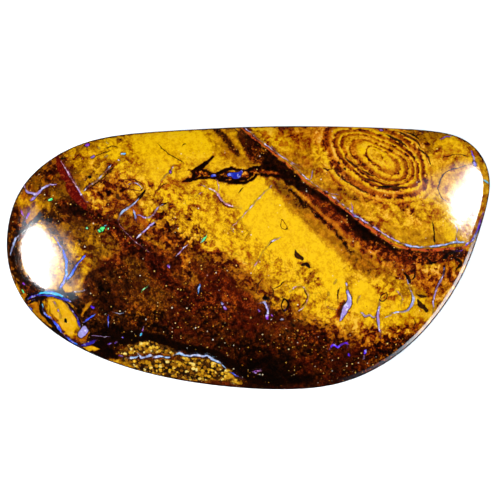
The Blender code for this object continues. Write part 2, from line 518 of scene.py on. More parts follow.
# %% Bands and small patches of the ground
# Each band has its tone, rust, mottle, edge softness, half widths along it, and its route.
BANDS = {
    "gold over the loops": (0.88, 0.15, 0.8, 6, (5, 7, 7, 5), (
        (206, 247), (226, 254), (242, 264), (258, 268))),
    "rusty patch in the dark": (0.42, 0.5, 0.7, 6, (5, 5), ((184, 270), (196, 280))),
    "brown under the flank": (0.5, 0.3, 0.4, 5, (4, 6, 6, 4), (
        (342, 246), (352, 256), (364, 266), (374, 275))),
    "hatch, dark strip": (0.2, 0.4, 0.55, 3, (1.5, 3, 3.2, 2), (
        (212, 127), (220, 134), (228, 141), (238, 155))),
    "hatch, gold strip": (0.8, 0.25, 0.4, 2, (1, 2, 2, 1), ((219, 127), (230, 135), (238, 143), (243, 153))),
    "gold over the fork": (0.93, 0.15, 0.5, 5, (6, 7, 6), ((184, 160), (196, 158), (218, 162))),
    "gold round the lilac seam": (0.8, 0.2, 0.8, 6, (5, 6, 5), ((145, 205), (152, 213), (148, 224))),
    "gold over the small ring": (0.8, 0.2, 0.8, 6, (5, 6, 5), ((84, 196), (100, 206), (112, 214))),
    "gold beside the rings": (0.82, 0.1, 0.5, 6, (5, 7, 6, 5), (
        (318, 150), (326, 163), (338, 172), (350, 180))),
    "shade beside the band's top": (0.5, 0.25, 0.4, 6, (4, 5, 4), ((278, 186), (288, 194), (300, 206))),
    "dark left of the pebbles": (0.08, 0.3, 0.5, 4, (4, 6, 6), ((20, 280), (28, 291), (40, 297))),
    "dark right of the pebbles": (0.1, 0.2, 0.6, 4, (4, 6, 6, 6, 5), (
        (62, 291), (72, 296), (80, 304), (86, 316), (88, 328))),
    "black foot of the pebbles": (0.06, 0.2, 0.4, 4, (3, 5, 6, 5), (
        (56, 335), (72, 345), (88, 353), (104, 359))),
    # Partly the stone's own tan patches and partly painted glare of the left softbox, raised into the tone
    # beside the gleam.
    "tan and painted glare right of the gleam": (0.79, 0.1, 0.7, 6, (5, 6, 6, 4), ((71, 248), (79, 254), (86, 262), (86, 270))),
    "gold below the twin seam": (0.86, 0.2, 0.75, 8, (7, 9, 8), ((118, 171), (130, 175), (142, 184))),
    "gold right of the lilac seam": (0.9, 0.15, 0.8, 8, (6, 8, 8), ((160, 190), (172, 196), (184, 204))),
    "brown below the mottle": (0.4, 0.35, 0.8, 8, (6, 8, 8), ((148, 229), (166, 237), (190, 244))),
    "gold beside the seam's top": (0.86, 0.25, 0.5, 5, (5, 7, 6), ((264, 128), (273, 136), (286, 147))),
    "gold above the deep": (0.86, 0.2, 0.7, 6, (5, 8, 7, 6), (
        (298, 306), (315, 313), (338, 317), (360, 320))),
    "gold at the lower right": (0.86, 0.2, 0.6, 5, (4, 5, 4), ((380, 318), (405, 318), (430, 311))),
    # Partly the stone's pale gold and partly painted glare of the right softbox, along the gleam's soft edge.
    "pale gold and painted glare by the right gleam": (0.95, 0.1, 0.5, 5, (4, 6, 5), ((446, 208), (452, 223), (450, 237))),
    "brown in the deep": (0.21, 0.6, 0.36, 8, (7, 9, 9, 8), ((185, 305), (215, 312), (245, 318), (275, 315))),
    "brown above the lens": (0.17, 0.3, 0.6, 6, (5, 6, 6), ((120, 315), (140, 317), (160, 315))),
    "brown right of the deep": (0.18, 0.5, 0.6, 6, (5, 6, 6), ((284, 333), (310, 338), (336, 337))),
    "brown above the seam": (0.55, 0.3, 0.8, 4, (3, 5, 4), ((400, 205), (410, 213), (418, 221))),
    "brown below the rings": (0.46, 0.35, 0.6, 5, (4, 5, 4), ((340, 188), (358, 196), (378, 201))),
    "black right under the seam": (0.3, 0.6, 0.7, 3, (2, 3.5, 3), ((456, 250), (464, 254), (470, 262))),
    "orange under the band": (0.7, 0.5, 0.4, 2, (1.5, 2.5, 3, 3.5, 4, 3.5, 3, 2.5), (
        (297, 192), (308, 203), (318, 212), (328, 221), (337, 230), (348, 240), (362, 249), (380, 259))),
    "gold thread under the band": (0.6, 0.3, 0.5, 1.5, (1, 1.3, 1.2, 1), (
        (360, 246), (366, 252), (374, 256.5), (384, 260))),
    "orange below the flank": (0.52, 0.6, 0.7, 2, (2, 3, 3, 2), (
        (380, 262), (394, 266), (408, 268), (420, 266))),
    "dark foot of the flank": (0.1, 0.4, 0.9, 2, (0.8, 2.2, 1.2, 2.6, 1.4, 2.4, 1.2, 2.2, 1.4, 1.8, 0.8), (
        (286, 188.5), (292, 193), (298, 197.5), (305, 205), (311, 209.5), (317, 215.5), (323, 220),
        (330, 227.5), (336, 233), (342, 241), (350, 252))),
    "violet brown below the seam": (0.26, 0.7, 0.6, 2, (3, 5, 6, 4), (
        (396, 253), (420, 258), (444, 254), (462, 253))),
    "brown before the dark": (0.47, 0.38, 0.65, 9, (3, 5, 6, 6, 7, 7, 6, 6, 5), (
        (108, 206), (140, 226), (170, 241), (196, 255), (226, 262), (250, 285), (276, 303), (326, 328),
        (370, 346))),
    "dark ridge": (0.19, 0.72, 0.45, 7, (5, 5, 6, 6, 6, 6, 5, 5, 4), (
        (64, 204), (80, 211), (106, 222), (125, 236), (143, 250), (156, 267), (170, 281), (190, 296),
        (215, 302))),
    "black under the wedge": (0.08, 0.4, 0.5, 5, (4, 6, 5), ((62, 208), (70, 209), (80, 211))),
    "black in the dark patch": (0.08, 0.2, 0.5, 5, (4, 5, 4, 5, 4), (
        (99, 283), (105, 288), (108, 297), (110, 305), (104, 310))),
    "black left of the gleam": (0.12, 0.3, 0.7, 5, (2, 5, 6, 6, 5, 3), (
        (15, 240), (15, 256), (17, 270), (26, 283), (40, 291), (56, 293))),
    "black above the gleam": (0.13, 0.25, 0.6, 5, (2, 4, 4, 3), ((22, 228), (30, 219), (44, 214), (60, 222))),
    "bottom black band": (0.015, 0.2, 0.15, 3, (3, 5, 6, 5, 4.5, 4, 5, 5), (
        (92, 340), (116, 339), (140, 336), (160, 340), (180, 347), (212, 353), (238, 368), (262, 378))),
    "black foot of the lens": (0.03, 0.2, 0.2, 3, (4, 5, 3), ((98, 344), (108, 352), (116, 358))),
    "black bottom": (0.02, 0.3, 0.2, 4, (3, 5, 4), ((250, 372), (275, 379), (310, 378))),
    "sandy lens, upper": (0.6, 0.1, 0.2, 1.5, (2, 5, 6, 4, 1), (
        (121, 353), (134, 349), (150, 347), (166, 350), (178, 354))),
    "sandy lens, lower": (0.6, 0.1, 0.2, 1.5, (2, 7, 9, 9, 6, 2), (
        (124, 360), (146, 366), (170, 369), (196, 371), (220, 375), (240, 382))),
    "sandy lens, under the thread": (0.6, 0.1, 0.2, 1.5, (1.5, 3, 3.5, 3, 1.5), (
        (184, 358), (196, 361), (208, 363), (220, 367), (230, 373))),
    "big pebble": (0.93, 0.36, 0.22, 1, (3, 9, 8, 8, 8, 3), (
        (50, 302), (57, 306), (63, 312), (68, 319), (70, 326), (70, 334))),
    "small pebble": (0.7, 0.42, 0.25, 1, (1.5, 3.6, 3.2, 1.5), ((36, 304), (40, 312), (47, 320), (54, 326))),
    "gold chip": (0.95, 0.15, 0.3, 1, (1.2, 3.2, 2, 0.3), (
        (84, 347), (91, 348.5), (96, 349.3), (101, 349.6))),
    "gold round the blob": (0.66, 0.5, 0.3, 1, (1.2, 2, 1.2), ((74, 336), (84, 339), (89, 333))),
    "gold claw": (0.78, 0.3, 0.25, 2, (2, 4, 4, 1.5), ((41, 203), (38, 208), (33, 214), (27, 221))),
    "black lid of the gleam": (0.1, 0.25, 0.5, 3, (1.5, 2.4, 2.6, 2.6, 2, 1), (
        (18, 236), (25, 229), (32, 222.5), (40, 219), (50, 221.5), (57, 228))),
    "tan sliver": (0.72, 0.3, 0.2, 1.5, (0.5, 2, 2, 0.5), ((92, 301), (89, 306), (86, 311), (83, 315))),
    "pale star": (0.9, 0.05, 0.1, 1.5, (2, 3, 2), ((64, 288), (67, 290), (71, 291))),
    "brown inside the fork": (0.42, 0.6, 1.0, 1.5, (1, 2.5, 3, 3, 4.5, 5, 3, 2), (
        (187, 180), (196, 175), (206, 175), (216, 176.5), (228, 177), (240, 176.5), (253, 172), (264, 172))),
    "orange lens in the fork": (0.5, 0.7, 0.3, 1.5, (1, 2.5, 1), ((260, 172), (268, 172.5), (277, 174))),
    "fork, upper tine": (0.02, 0.3, 0.3, 1.0, (0.7, 1.2, 1.8, 2.4), (
        (214, 157), (209, 161.5), (203.5, 165), (198, 169))),
    "fork, thorn": (0.05, 0.3, 0.3, 1.2, (0.6, 1.1, 1.6), ((189, 169.5), (194, 170.5), (199, 171))),
    "fork, upper side": (0.02, 0.3, 0.3, 1.0, (1.6, 1.2, 1.6, 1.7, 1.3, 1.6, 1.2, 1.6, 2.4), (
        (197, 169), (206, 171.5), (216, 174), (224, 172), (233, 169.5), (245, 170), (256, 168), (268, 169),
        (283, 173))),
    "fork, palm": (0.04, 0.3, 0.4, 1.2, (1.6, 1.3, 1.5), ((194, 171), (195, 175), (191, 179.5))),
    "fork, lower side": (0.02, 0.3, 0.3, 1.0, (0.9, 1.3, 1.4, 1.4, 1.7, 1.8, 1.7, 1.4, 1.3, 1.4, 2.1), (
        (184, 182), (193, 179), (204, 179), (214, 178.5), (223, 181.5), (234, 183), (246, 182.5),
        (256, 176.5),
        (266, 175.5), (278, 177), (290, 183))),
    "fork, inner loop": (0.04, 0.3, 0.3, 1.0, (0.9, 1.2, 1.2, 0.9), (
        (226, 178), (236, 180), (246, 178.5), (252, 174), (247, 171.5))),
    "fork, black neck": (0.03, 0.3, 0.4, 1.2, (1.0, 2.0, 1.2), ((208, 175), (219, 177.5), (228, 179))),
    "dark round the gleam": (0.33, 0.15, 0.5, 5, (2, 4, 4, 3), ((44, 220), (55, 231), (63, 243), (69, 256))),
    "left rim": (0.55, 0.35, 0.4, 1.5, (0.5, 0.7, 1.3, 1.2), ((11, 262), (16, 280), (20.5, 289), (26, 298))),
    "lower left rim": (0.6, 0.5, 0.3, 1.5, (1.5, 2, 1.5), ((24, 292), (29, 300), (34, 307))),
    "rust by the sliver": (0.5, 0.8, 0.4, 2, (1, 2.5, 1), ((343, 300), (340, 309), (338, 320))),
    "orange by the twin seams": (0.6, 0.85, 0.3, 3, (1, 3, 2), ((133, 207), (141, 217), (147, 225))),
}
print(len(BANDS), "bands and small patches")

# %% [markdown]
# ## Seams and cracks
#
# Opal filled the finest cracks, so its seams are hairlines, about a tenth of a millimetre wide. Each is
# a route along its middle. One colour number runs through the opal's play of colour, from deep violet
# through blue, cyan, pale blue, lilac, pink and purple to green. The dark lines are cracks filled with
# iron only, and their number runs from black through brown and red to orange.

# %% Routes of the opal seams
VIOLET, BLUE, CYAN, PALE, LILAC, PINK, PURPLE, GREEN = 0.0, 0.14, 0.28, 0.42, 0.56, 0.7, 0.85, 1.0

# Each seam has its colour, its half width in pixels, one number or one for each point, and its route.
SEAMS = {
    "long seam, upper": (LILAC, 0.9, (
        (244, 127), (251, 133), (259, 140.5), (267, 146), (275, 152), (283, 158), (289, 162.5), (296, 168),
        (303, 175.5), (308, 180), (313, 184), (320, 188.5), (328, 193), (334, 198.5), (345, 207),
        (352, 213.5))),
    "long seam, middle": (LILAC, 1.2, (
        (351, 213), (357, 217), (363, 221), (368, 224.5), (376, 229.5), (384, 234.5), (391, 238.5),
        (400, 243))),
    "long seam, lower": (PALE, (0.8, 1.6, 1.2, 2.0, 1.1, 1.9, 1.1, 2.0, 1.3, 0.9), (
        (396, 241.5), (405, 244.5), (416, 247), (427, 246.5), (436, 246), (446, 244), (458, 242),
        (468, 243.5))),
    "purple in the seam": (PURPLE, 1.7, ((351, 215), (355, 216.5), (359, 217.5))),
    "right edge seam": (VIOLET, (1, 1.7, 1.7, 1.5, 1), (
        (466, 245), (472, 240), (476.5, 231), (480.5, 221), (483, 213))),
    "violet at the right end": (VIOLET, (0.8, 1.2, 1.4, 1.0), (
        (471.5, 152), (473, 157), (474.5, 162), (475, 167))),
    "violet knot": (VIOLET, 2.2, ((474, 163), (475, 165))),
    "cyan run": (CYAN, 1.1, ((475.5, 169), (478, 172), (481, 174.5))),
    "cyan edge": (CYAN, 1.5, ((482, 179.5), (485, 181.5), (489, 183.5))),
    "lilac on the right": (LILAC, 0.7, ((455.5, 226), (456.5, 232), (456, 239), (457, 243))),
    "dark rim line": (VIOLET, 0.6, ((440, 139), (446, 137), (452, 135.5))),
    "twig 1": (LILAC, 0.6, ((272, 147), (275, 150), (277, 154))),
    "twig 2": (LILAC, 0.6, ((289, 161), (294, 164), (300, 166.5))),
    "twig 3": (LILAC, 0.5, ((309, 181), (311.5, 176), (313, 170))),
    "twig 4": (LILAC, 0.6, ((326, 192), (332, 194), (338, 195))),
    "twig 5": (PURPLE, 0.6, ((352.5, 213), (352, 209), (351, 204))),
    "purple top dot": (PURPLE, 1.6, ((380.5, 130), (382, 130.5))),
    "wedge seam": (0.64, (0.4, 1.3, 1.4, 1.3, 1.5, 0.8), (
        (62, 162), (65.5, 168), (69, 174), (73.5, 181), (78, 188.5), (86, 201))),
    "wedge seam's hook": (PINK, 0.6, ((85.5, 200.5), (89, 201.5), (93, 198.5))),
    "twin seam": (PALE, 1.2, ((111.5, 166), (107, 171), (101.5, 177), (95, 183), (90, 186), (84.5, 191))),
    "left end seam": (LILAC, (0.6, 1.9, 2.2, 1.7, 2.0, 1.5, 0.6), (
        (24, 184), (27, 191.5), (33, 193.5), (38, 194), (43, 188.5), (50, 185.2), (56, 184.6))),
    "left end purple": (PURPLE, (1.2, 2.3, 0.8), ((31, 200), (34, 198), (37, 195.5))),
    "left purple 1": (PURPLE, 1.5, ((20.5, 208), (22, 212), (24, 216.5))),
    "left purple 2": (PURPLE, 1.7, ((30.5, 211), (28.5, 216), (26, 221))),
    "left rim seam": (PALE, 1.5, ((18.5, 236), (15, 240.5), (13, 246), (11, 254))),
    "speck a": (PURPLE, 2.2, ((86.5, 145.8), (88, 145))),
    "speck b": (PURPLE, 1.5, ((92, 157.5), (94.5, 156.5))),
    "speck c": (LILAC, 1.0, ((107, 142), (108, 143.5))),
    "speck d": (BLUE, 1.1, ((98.5, 147.5), (99.5, 149))),
    "speck e": (LILAC, 1.0, ((119, 160.5), (121, 163))),
    "speck f": (LILAC, 0.9, ((106, 157), (108.5, 155.5))),
    "cyan speck": (CYAN, 1.3, ((121.5, 154.4), (125.5, 154))),
    "pink seam": (PINK, 1.3, ((174.5, 166), (170.5, 172), (166, 176.5), (162.5, 181))),
    "pink seam's dot": (PURPLE, 1.6, ((170, 171), (171, 173))),
    "blue seam": (PALE, (0.8, 1.6, 1.5, 1.7, 1.1), (
        (139, 199.5), (135, 204), (130, 207.5), (123, 212.5), (118.8, 219.5))),
    "thread from the blue seam": (PINK, 0.3, (
        (119, 221.5), (122, 227), (127, 233), (134, 240), (142, 246), (150, 252))),
    "violet twig": (PURPLE, 1.7, ((134.5, 210.5), (136, 215.5), (137.3, 221))),
    "lilac seam": (LILAC, (0.6, 1.3, 1.4, 1.5, 1.2, 0.6), (
        (163, 205), (158, 207.7), (155, 214), (150, 217.5), (146, 218), (139, 215.5))),
    "blue lilac seam": (LILAC, 1.3, ((158, 220), (150, 226), (145, 231), (137.5, 238))),
    "pebble's light rim": (PALE, 0.7, ((129.5, 184.5), (134, 183.2), (138.5, 184.2), (142, 188))),
    "green 1": (GREEN, (1.6, 2.35, 1.4), ((101.4, 230.8), (103, 228.6), (105.2, 227.6))),
    "green 2": (CYAN, 2.0, ((105.5, 226), (107.5, 225.3))),
    "green 3": (GREEN, 1.9, ((99.8, 230.5), (100.8, 231.5))),
    "green 4": (GREEN, 1.8, ((108.5, 228), (109.3, 228.8))),
    "green 5": (GREEN, 1.8, ((87.4, 228.4), (88.3, 228.4))),
    "green 6": (GREEN, 1.6, ((50, 200.2), (52, 199.5))),
    "green 7": (GREEN, (1.2, 2.2, 1.2), ((202, 241.5), (204, 239.5), (206, 237))),
    "green dash": (GREEN, 1.1, ((143, 290.5), (146.5, 287.5), (149.5, 284.5))),
    "green on the rings": (GREEN, 1.3, ((415.2, 157.5), (416, 158.5))),
    "middle seam": (PINK, (0.5, 0.9, 1.5, 1.6, 1.2, 0.7), (
        (201, 184.8), (210, 189), (217, 193.5), (222, 201), (231, 206), (240.5, 208))),
    "middle seam's start": (PINK, 0.6, ((217, 181), (218.5, 186), (218.5, 191))),
    "middle seam's side": (PINK, 0.6, ((203, 192.5), (199, 195.5), (195, 198.5))),
    "long thread, upper": (LILAC, 0.75, ((271.5, 186), (264, 193), (257, 200.5), (250, 208.5), (244, 215))),
    "long thread, lower": (PINK, 0.6, ((243, 216), (237, 222.5), (231, 228.3), (233, 231.8))),
    "dash by the thread": (LILAC, 1.0, ((188, 244), (182, 250.5), (177, 256.5))),
    "second dash": (LILAC, 0.9, ((279, 238), (272, 241.3), (266, 247.5))),
    "second dash, lower": (PINK, 0.6, ((265, 249), (261.5, 254.5), (258, 261), (253, 267))),
    "blue in the fork": (0.1, 2.2, ((211.5, 176.5), (215, 176))),
    "blue pool in the fork": (0.105, (1.0, 1.9, 3.1, 2.9, 1.2), (
        (228.5, 175), (232, 174.5), (235.5, 176), (238.5, 175), (241.5, 172))),
    "gleam's blue rim": (BLUE, (1.0, 1.2, 1.9, 2.2, 2.2, 1.4), (
        (56, 238), (62, 247), (66.5, 258), (67.5, 268), (66, 279), (61, 288))),
    "blue line by the gleam": (BLUE, 1.7, (
        (87, 254.5), (80, 262), (74.5, 270), (70, 277), (67, 282))),
    "white line by the star": (PALE, 1.4, ((73.5, 291.5), (79, 291.5), (86.5, 289.8))),
    "cyan seam, start": (0.07, 2.2, ((29, 298.5), (33, 296.5), (37, 295.3), (41, 293.5))),
    "blue bed of the cyan seam": (0.09, (0.8, 1.8, 2.35, 2.1, 1.6, 1.0, 0.6), (
        (38, 295), (44, 293.6), (50, 293.4), (57, 295), (63, 297.5), (68, 299.5), (71, 301))),
    "cyan seam": (CYAN, (1.4, 2.2, 1.6, 2.3, 2.2, 1.2), (
        (41, 293.2), (46, 292.2), (51, 293), (56, 293.6), (60, 295), (64, 296.6))),
    "dark blue patch": (BLUE, 1.6, ((32.5, 299.8), (35, 299.2))),
    "pebble's blue side": (0.06, (0.6, 1.5, 1.0, 1.8, 1.2), (
        (65, 301), (71.5, 309.5), (77.5, 317.5), (79.8, 326))),
    "pebble's cyan dot": (CYAN, 1.6, ((43, 304), (43.2, 306.5))),
    "seam between the pebbles": (0.15, (0.8, 1.9, 1.3, 2.1, 1.2, 1.8, 1.0), (
        (43.5, 309), (45.5, 314), (52.5, 319.5), (58.5, 327), (64, 334.5), (71.5, 341), (79.5, 345.8))),
    "blue under the blob": (0.04, (1.2, 2.3, 2.3, 1.2), ((80, 346), (86, 344.4), (91, 342.5), (96, 340))),
    "purple dashes 1": (PURPLE, 1.2, ((55, 302), (57, 306))),
    "purple dashes 2": (PURPLE, 1.2, ((58.5, 309), (60, 312.5))),
    "purple dashes 3": (LILAC, 0.8, ((60.5, 314.5), (61, 317.5))),
    "lilac blob": (0.54, (3.2, 4.4, 3.6), ((80.5, 334), (82.5, 331.8), (85, 329.5))),
    "blue dash 1": (BLUE, 1.7, ((85, 321.5), (90, 318), (95, 314.5))),
    "blue dash 2": (BLUE, 1.0, ((109, 316), (108.6, 320), (109, 325))),
    "blue dot 1": (VIOLET, 1.6, ((92.5, 306.3), (94, 307.3))),
    "blue dot 2": (VIOLET, 1.4, ((115, 342.5), (117, 341.5))),
    "blue dot 3": (VIOLET, 1.4, ((109, 344), (111.5, 343))),
    "blue dot 4": (VIOLET, 1.1, ((122.3, 336.5), (123.5, 337.3))),
    "rim blue 1": (GREEN, 1.3, ((22.5, 290), (24, 293))),
    "rim blue 2": (PURPLE, 1.4, ((23.5, 283), (25, 284.2))),
    "rim blue 3": (BLUE, 1.4, ((29, 307), (31.5, 309.5))),
    "cyan by the lens": (CYAN, 1.6, ((140.5, 335.5), (141.8, 333.5))),
    "violet by the lens": (PURPLE, 0.9, ((142.8, 331), (144, 326.5))),
    "lens seam 1": (VIOLET, 1.0, ((118.5, 355), (123, 355.8))),
    "lens seam 2": (0.42, (0.9, 2.3, 1.4), ((128.5, 357.5), (132.5, 357.8), (136.5, 356.8))),
    "lens seam 3": (0.43, (1.0, 2.2, 1.4, 2.3, 1.0), (
        (139, 354.5), (141.5, 357.5), (146, 356.5), (150, 355.4), (153, 356))),
    "lens seam 4": (0.42, (1.5, 2.3, 1.4), ((155, 357), (159.5, 355.8), (163, 356))),
    "lens seam 5": (0.42, 2.2, ((166, 357.2), (170, 357))),
    "lens thread": (PALE, (0.8, 1.9, 1.7, 1.7, 1.9, 1.7, 1.9, 1.9, 1.6, 0.6), (
        (175, 354.5), (180, 352.8), (186, 354.8), (191, 355.2), (196, 354.3), (202, 356), (207, 355.2),
        (213, 359), (220, 362.2), (225, 367.5))),
    "lens thread, end": (BLUE, 0.8, ((231, 372), (236, 375), (242, 378.5))),
    "white line in the black": (0.6, 0.2, ((92, 335.3), (100, 335.8), (109, 337))),
    "pale curl": (PALE, 0.5, ((114, 312), (118.5, 313.5), (123, 312.5))),
    "blue bead": (0.2, (1.6, 2.3, 1.8), ((199.5, 286), (199.2, 288.5), (198.8, 291.5))),
    "bead's white eye": (PALE, 1.1, ((199.3, 289.5), (199.2, 290.6))),
    "violet speck 1": (PURPLE, 2.0, ((168.6, 265.5), (169.6, 267))),
    "violet speck 2": (PURPLE, 1.7, ((222, 302.5), (223.5, 304))),
    "violet speck 3": (PURPLE, 2.0, ((224.5, 306), (226, 308.5))),
    "violet speck 4": (PURPLE, 1.8, ((258.5, 309.8), (259.5, 311))),
    "violet angle": (0.5, (1.0, 2.0, 1.4, 1.9, 1.8), (
        (259.5, 303), (264.5, 301.8), (266.8, 306.5), (268, 312.5))),
    "magenta drop": (PURPLE, 2.3, ((267, 315.5), (267.3, 318))),
    "magenta speck": (PURPLE, 1.8, ((271.5, 314.3), (272.7, 315.3))),
    "white speck": (PALE, 1.3, ((281, 318.6), (283, 319))),
    "magenta glow": (0.78, (2.3, 2.1, 1.4), ((254.5, 371.5), (257, 370.8), (260, 370.3))),
    "leaf's violet": (VIOLET, 1.2, ((284, 306), (285, 309))),
    "oval ring": (PINK, (0.4, 0.8, 0.8, 0.9, 0.7, 0.9, 0.8, 0.4), (
        (290, 291), (294, 287), (299, 285.8), (304.5, 288), (307.5, 294.5), (306.5, 301.5), (302.5, 307.5),
        (296, 311.8))),
    "big sliver": (LILAC, (0.4, 0.6, 1.0, 2.0, 2.7, 2.5, 1.8, 1.2, 0.4), (
        (345.7, 283), (346.2, 288), (346.8, 292.5), (349, 298), (348.3, 303.5), (345, 309), (342.5, 313.5),
        (341, 317), (339.8, 320.5))),
    "small lilac": (PINK, 1.2, ((359.3, 296.5), (358, 299), (357, 302))),
    "pink dots 1": (PINK, 1.1, ((328, 293), (328.4, 295))),
    "pink dots 2": (PINK, 1.0, ((333.5, 283.5), (335.5, 280))),
    "pink dots 3": (PINK, 0.8, ((328, 307), (331, 308.5), (335, 309))),
    "small seam": (LILAC, 1.5, ((360.5, 312), (364.5, 315.7), (369.5, 314.6), (373, 317.3), (377, 314.5))),
    "stem seam": (LILAC, (0.6, 1.3, 2.0, 2.1, 1.8, 1.2, 0.5), (
        (379.8, 299.5), (378.3, 306), (377.3, 312), (377.2, 318), (378, 324), (379, 330), (380.3, 337.5))),
    "hook seam": (0.47, (0.6, 1.3, 1.5, 1.7, 1.6, 1.5, 1.4, 1.3, 0.6), (
        (406.8, 280.5), (409, 287.5), (412, 294), (412.5, 300), (410.5, 306), (406, 310.5), (399.5, 311.8),
        (392, 313), (385, 317.5))),
    "small arc": (PINK, 1.1, ((396, 290.8), (400.5, 294), (402.3, 298.8), (400.5, 304))),
    "right seam": (LILAC, (0.7, 1.5, 1.5, 1.4, 1.3, 1.0, 0.5), (
        (443.8, 269), (442, 276.5), (438.3, 283.5), (434.8, 291), (433.3, 299), (433.2, 306), (433, 313))),
    "squiggle": (0.0, 1.5, (
        (329.5, 349), (333.5, 344.2), (337.5, 346.8), (341.5, 343.5), (346, 342.5), (347, 347))),
    "squiggle's dot": (VIOLET, 1.8, ((348.4, 353.5), (349.3, 355.5))),
    "two drops 1": (VIOLET, 1.9, ((365, 350), (364.8, 352.5))),
    "two drops 2": (LILAC, 1.4, ((363.8, 355.5), (363.4, 358.5))),
    "bottom magenta": (PURPLE, 1.9, ((254, 371.3), (256, 372.5))),
    "violet by the right band": (VIOLET, 0.9, ((452, 250.5), (457, 250.8), (462, 250))),
}
print(len(SEAMS), "seams of opal")

# %% Routes of the dark cracks
BLACK, BROWN, RED, DEEP_RED, ORANGE = 0.0, 0.35, 0.6, 0.8, 1.0

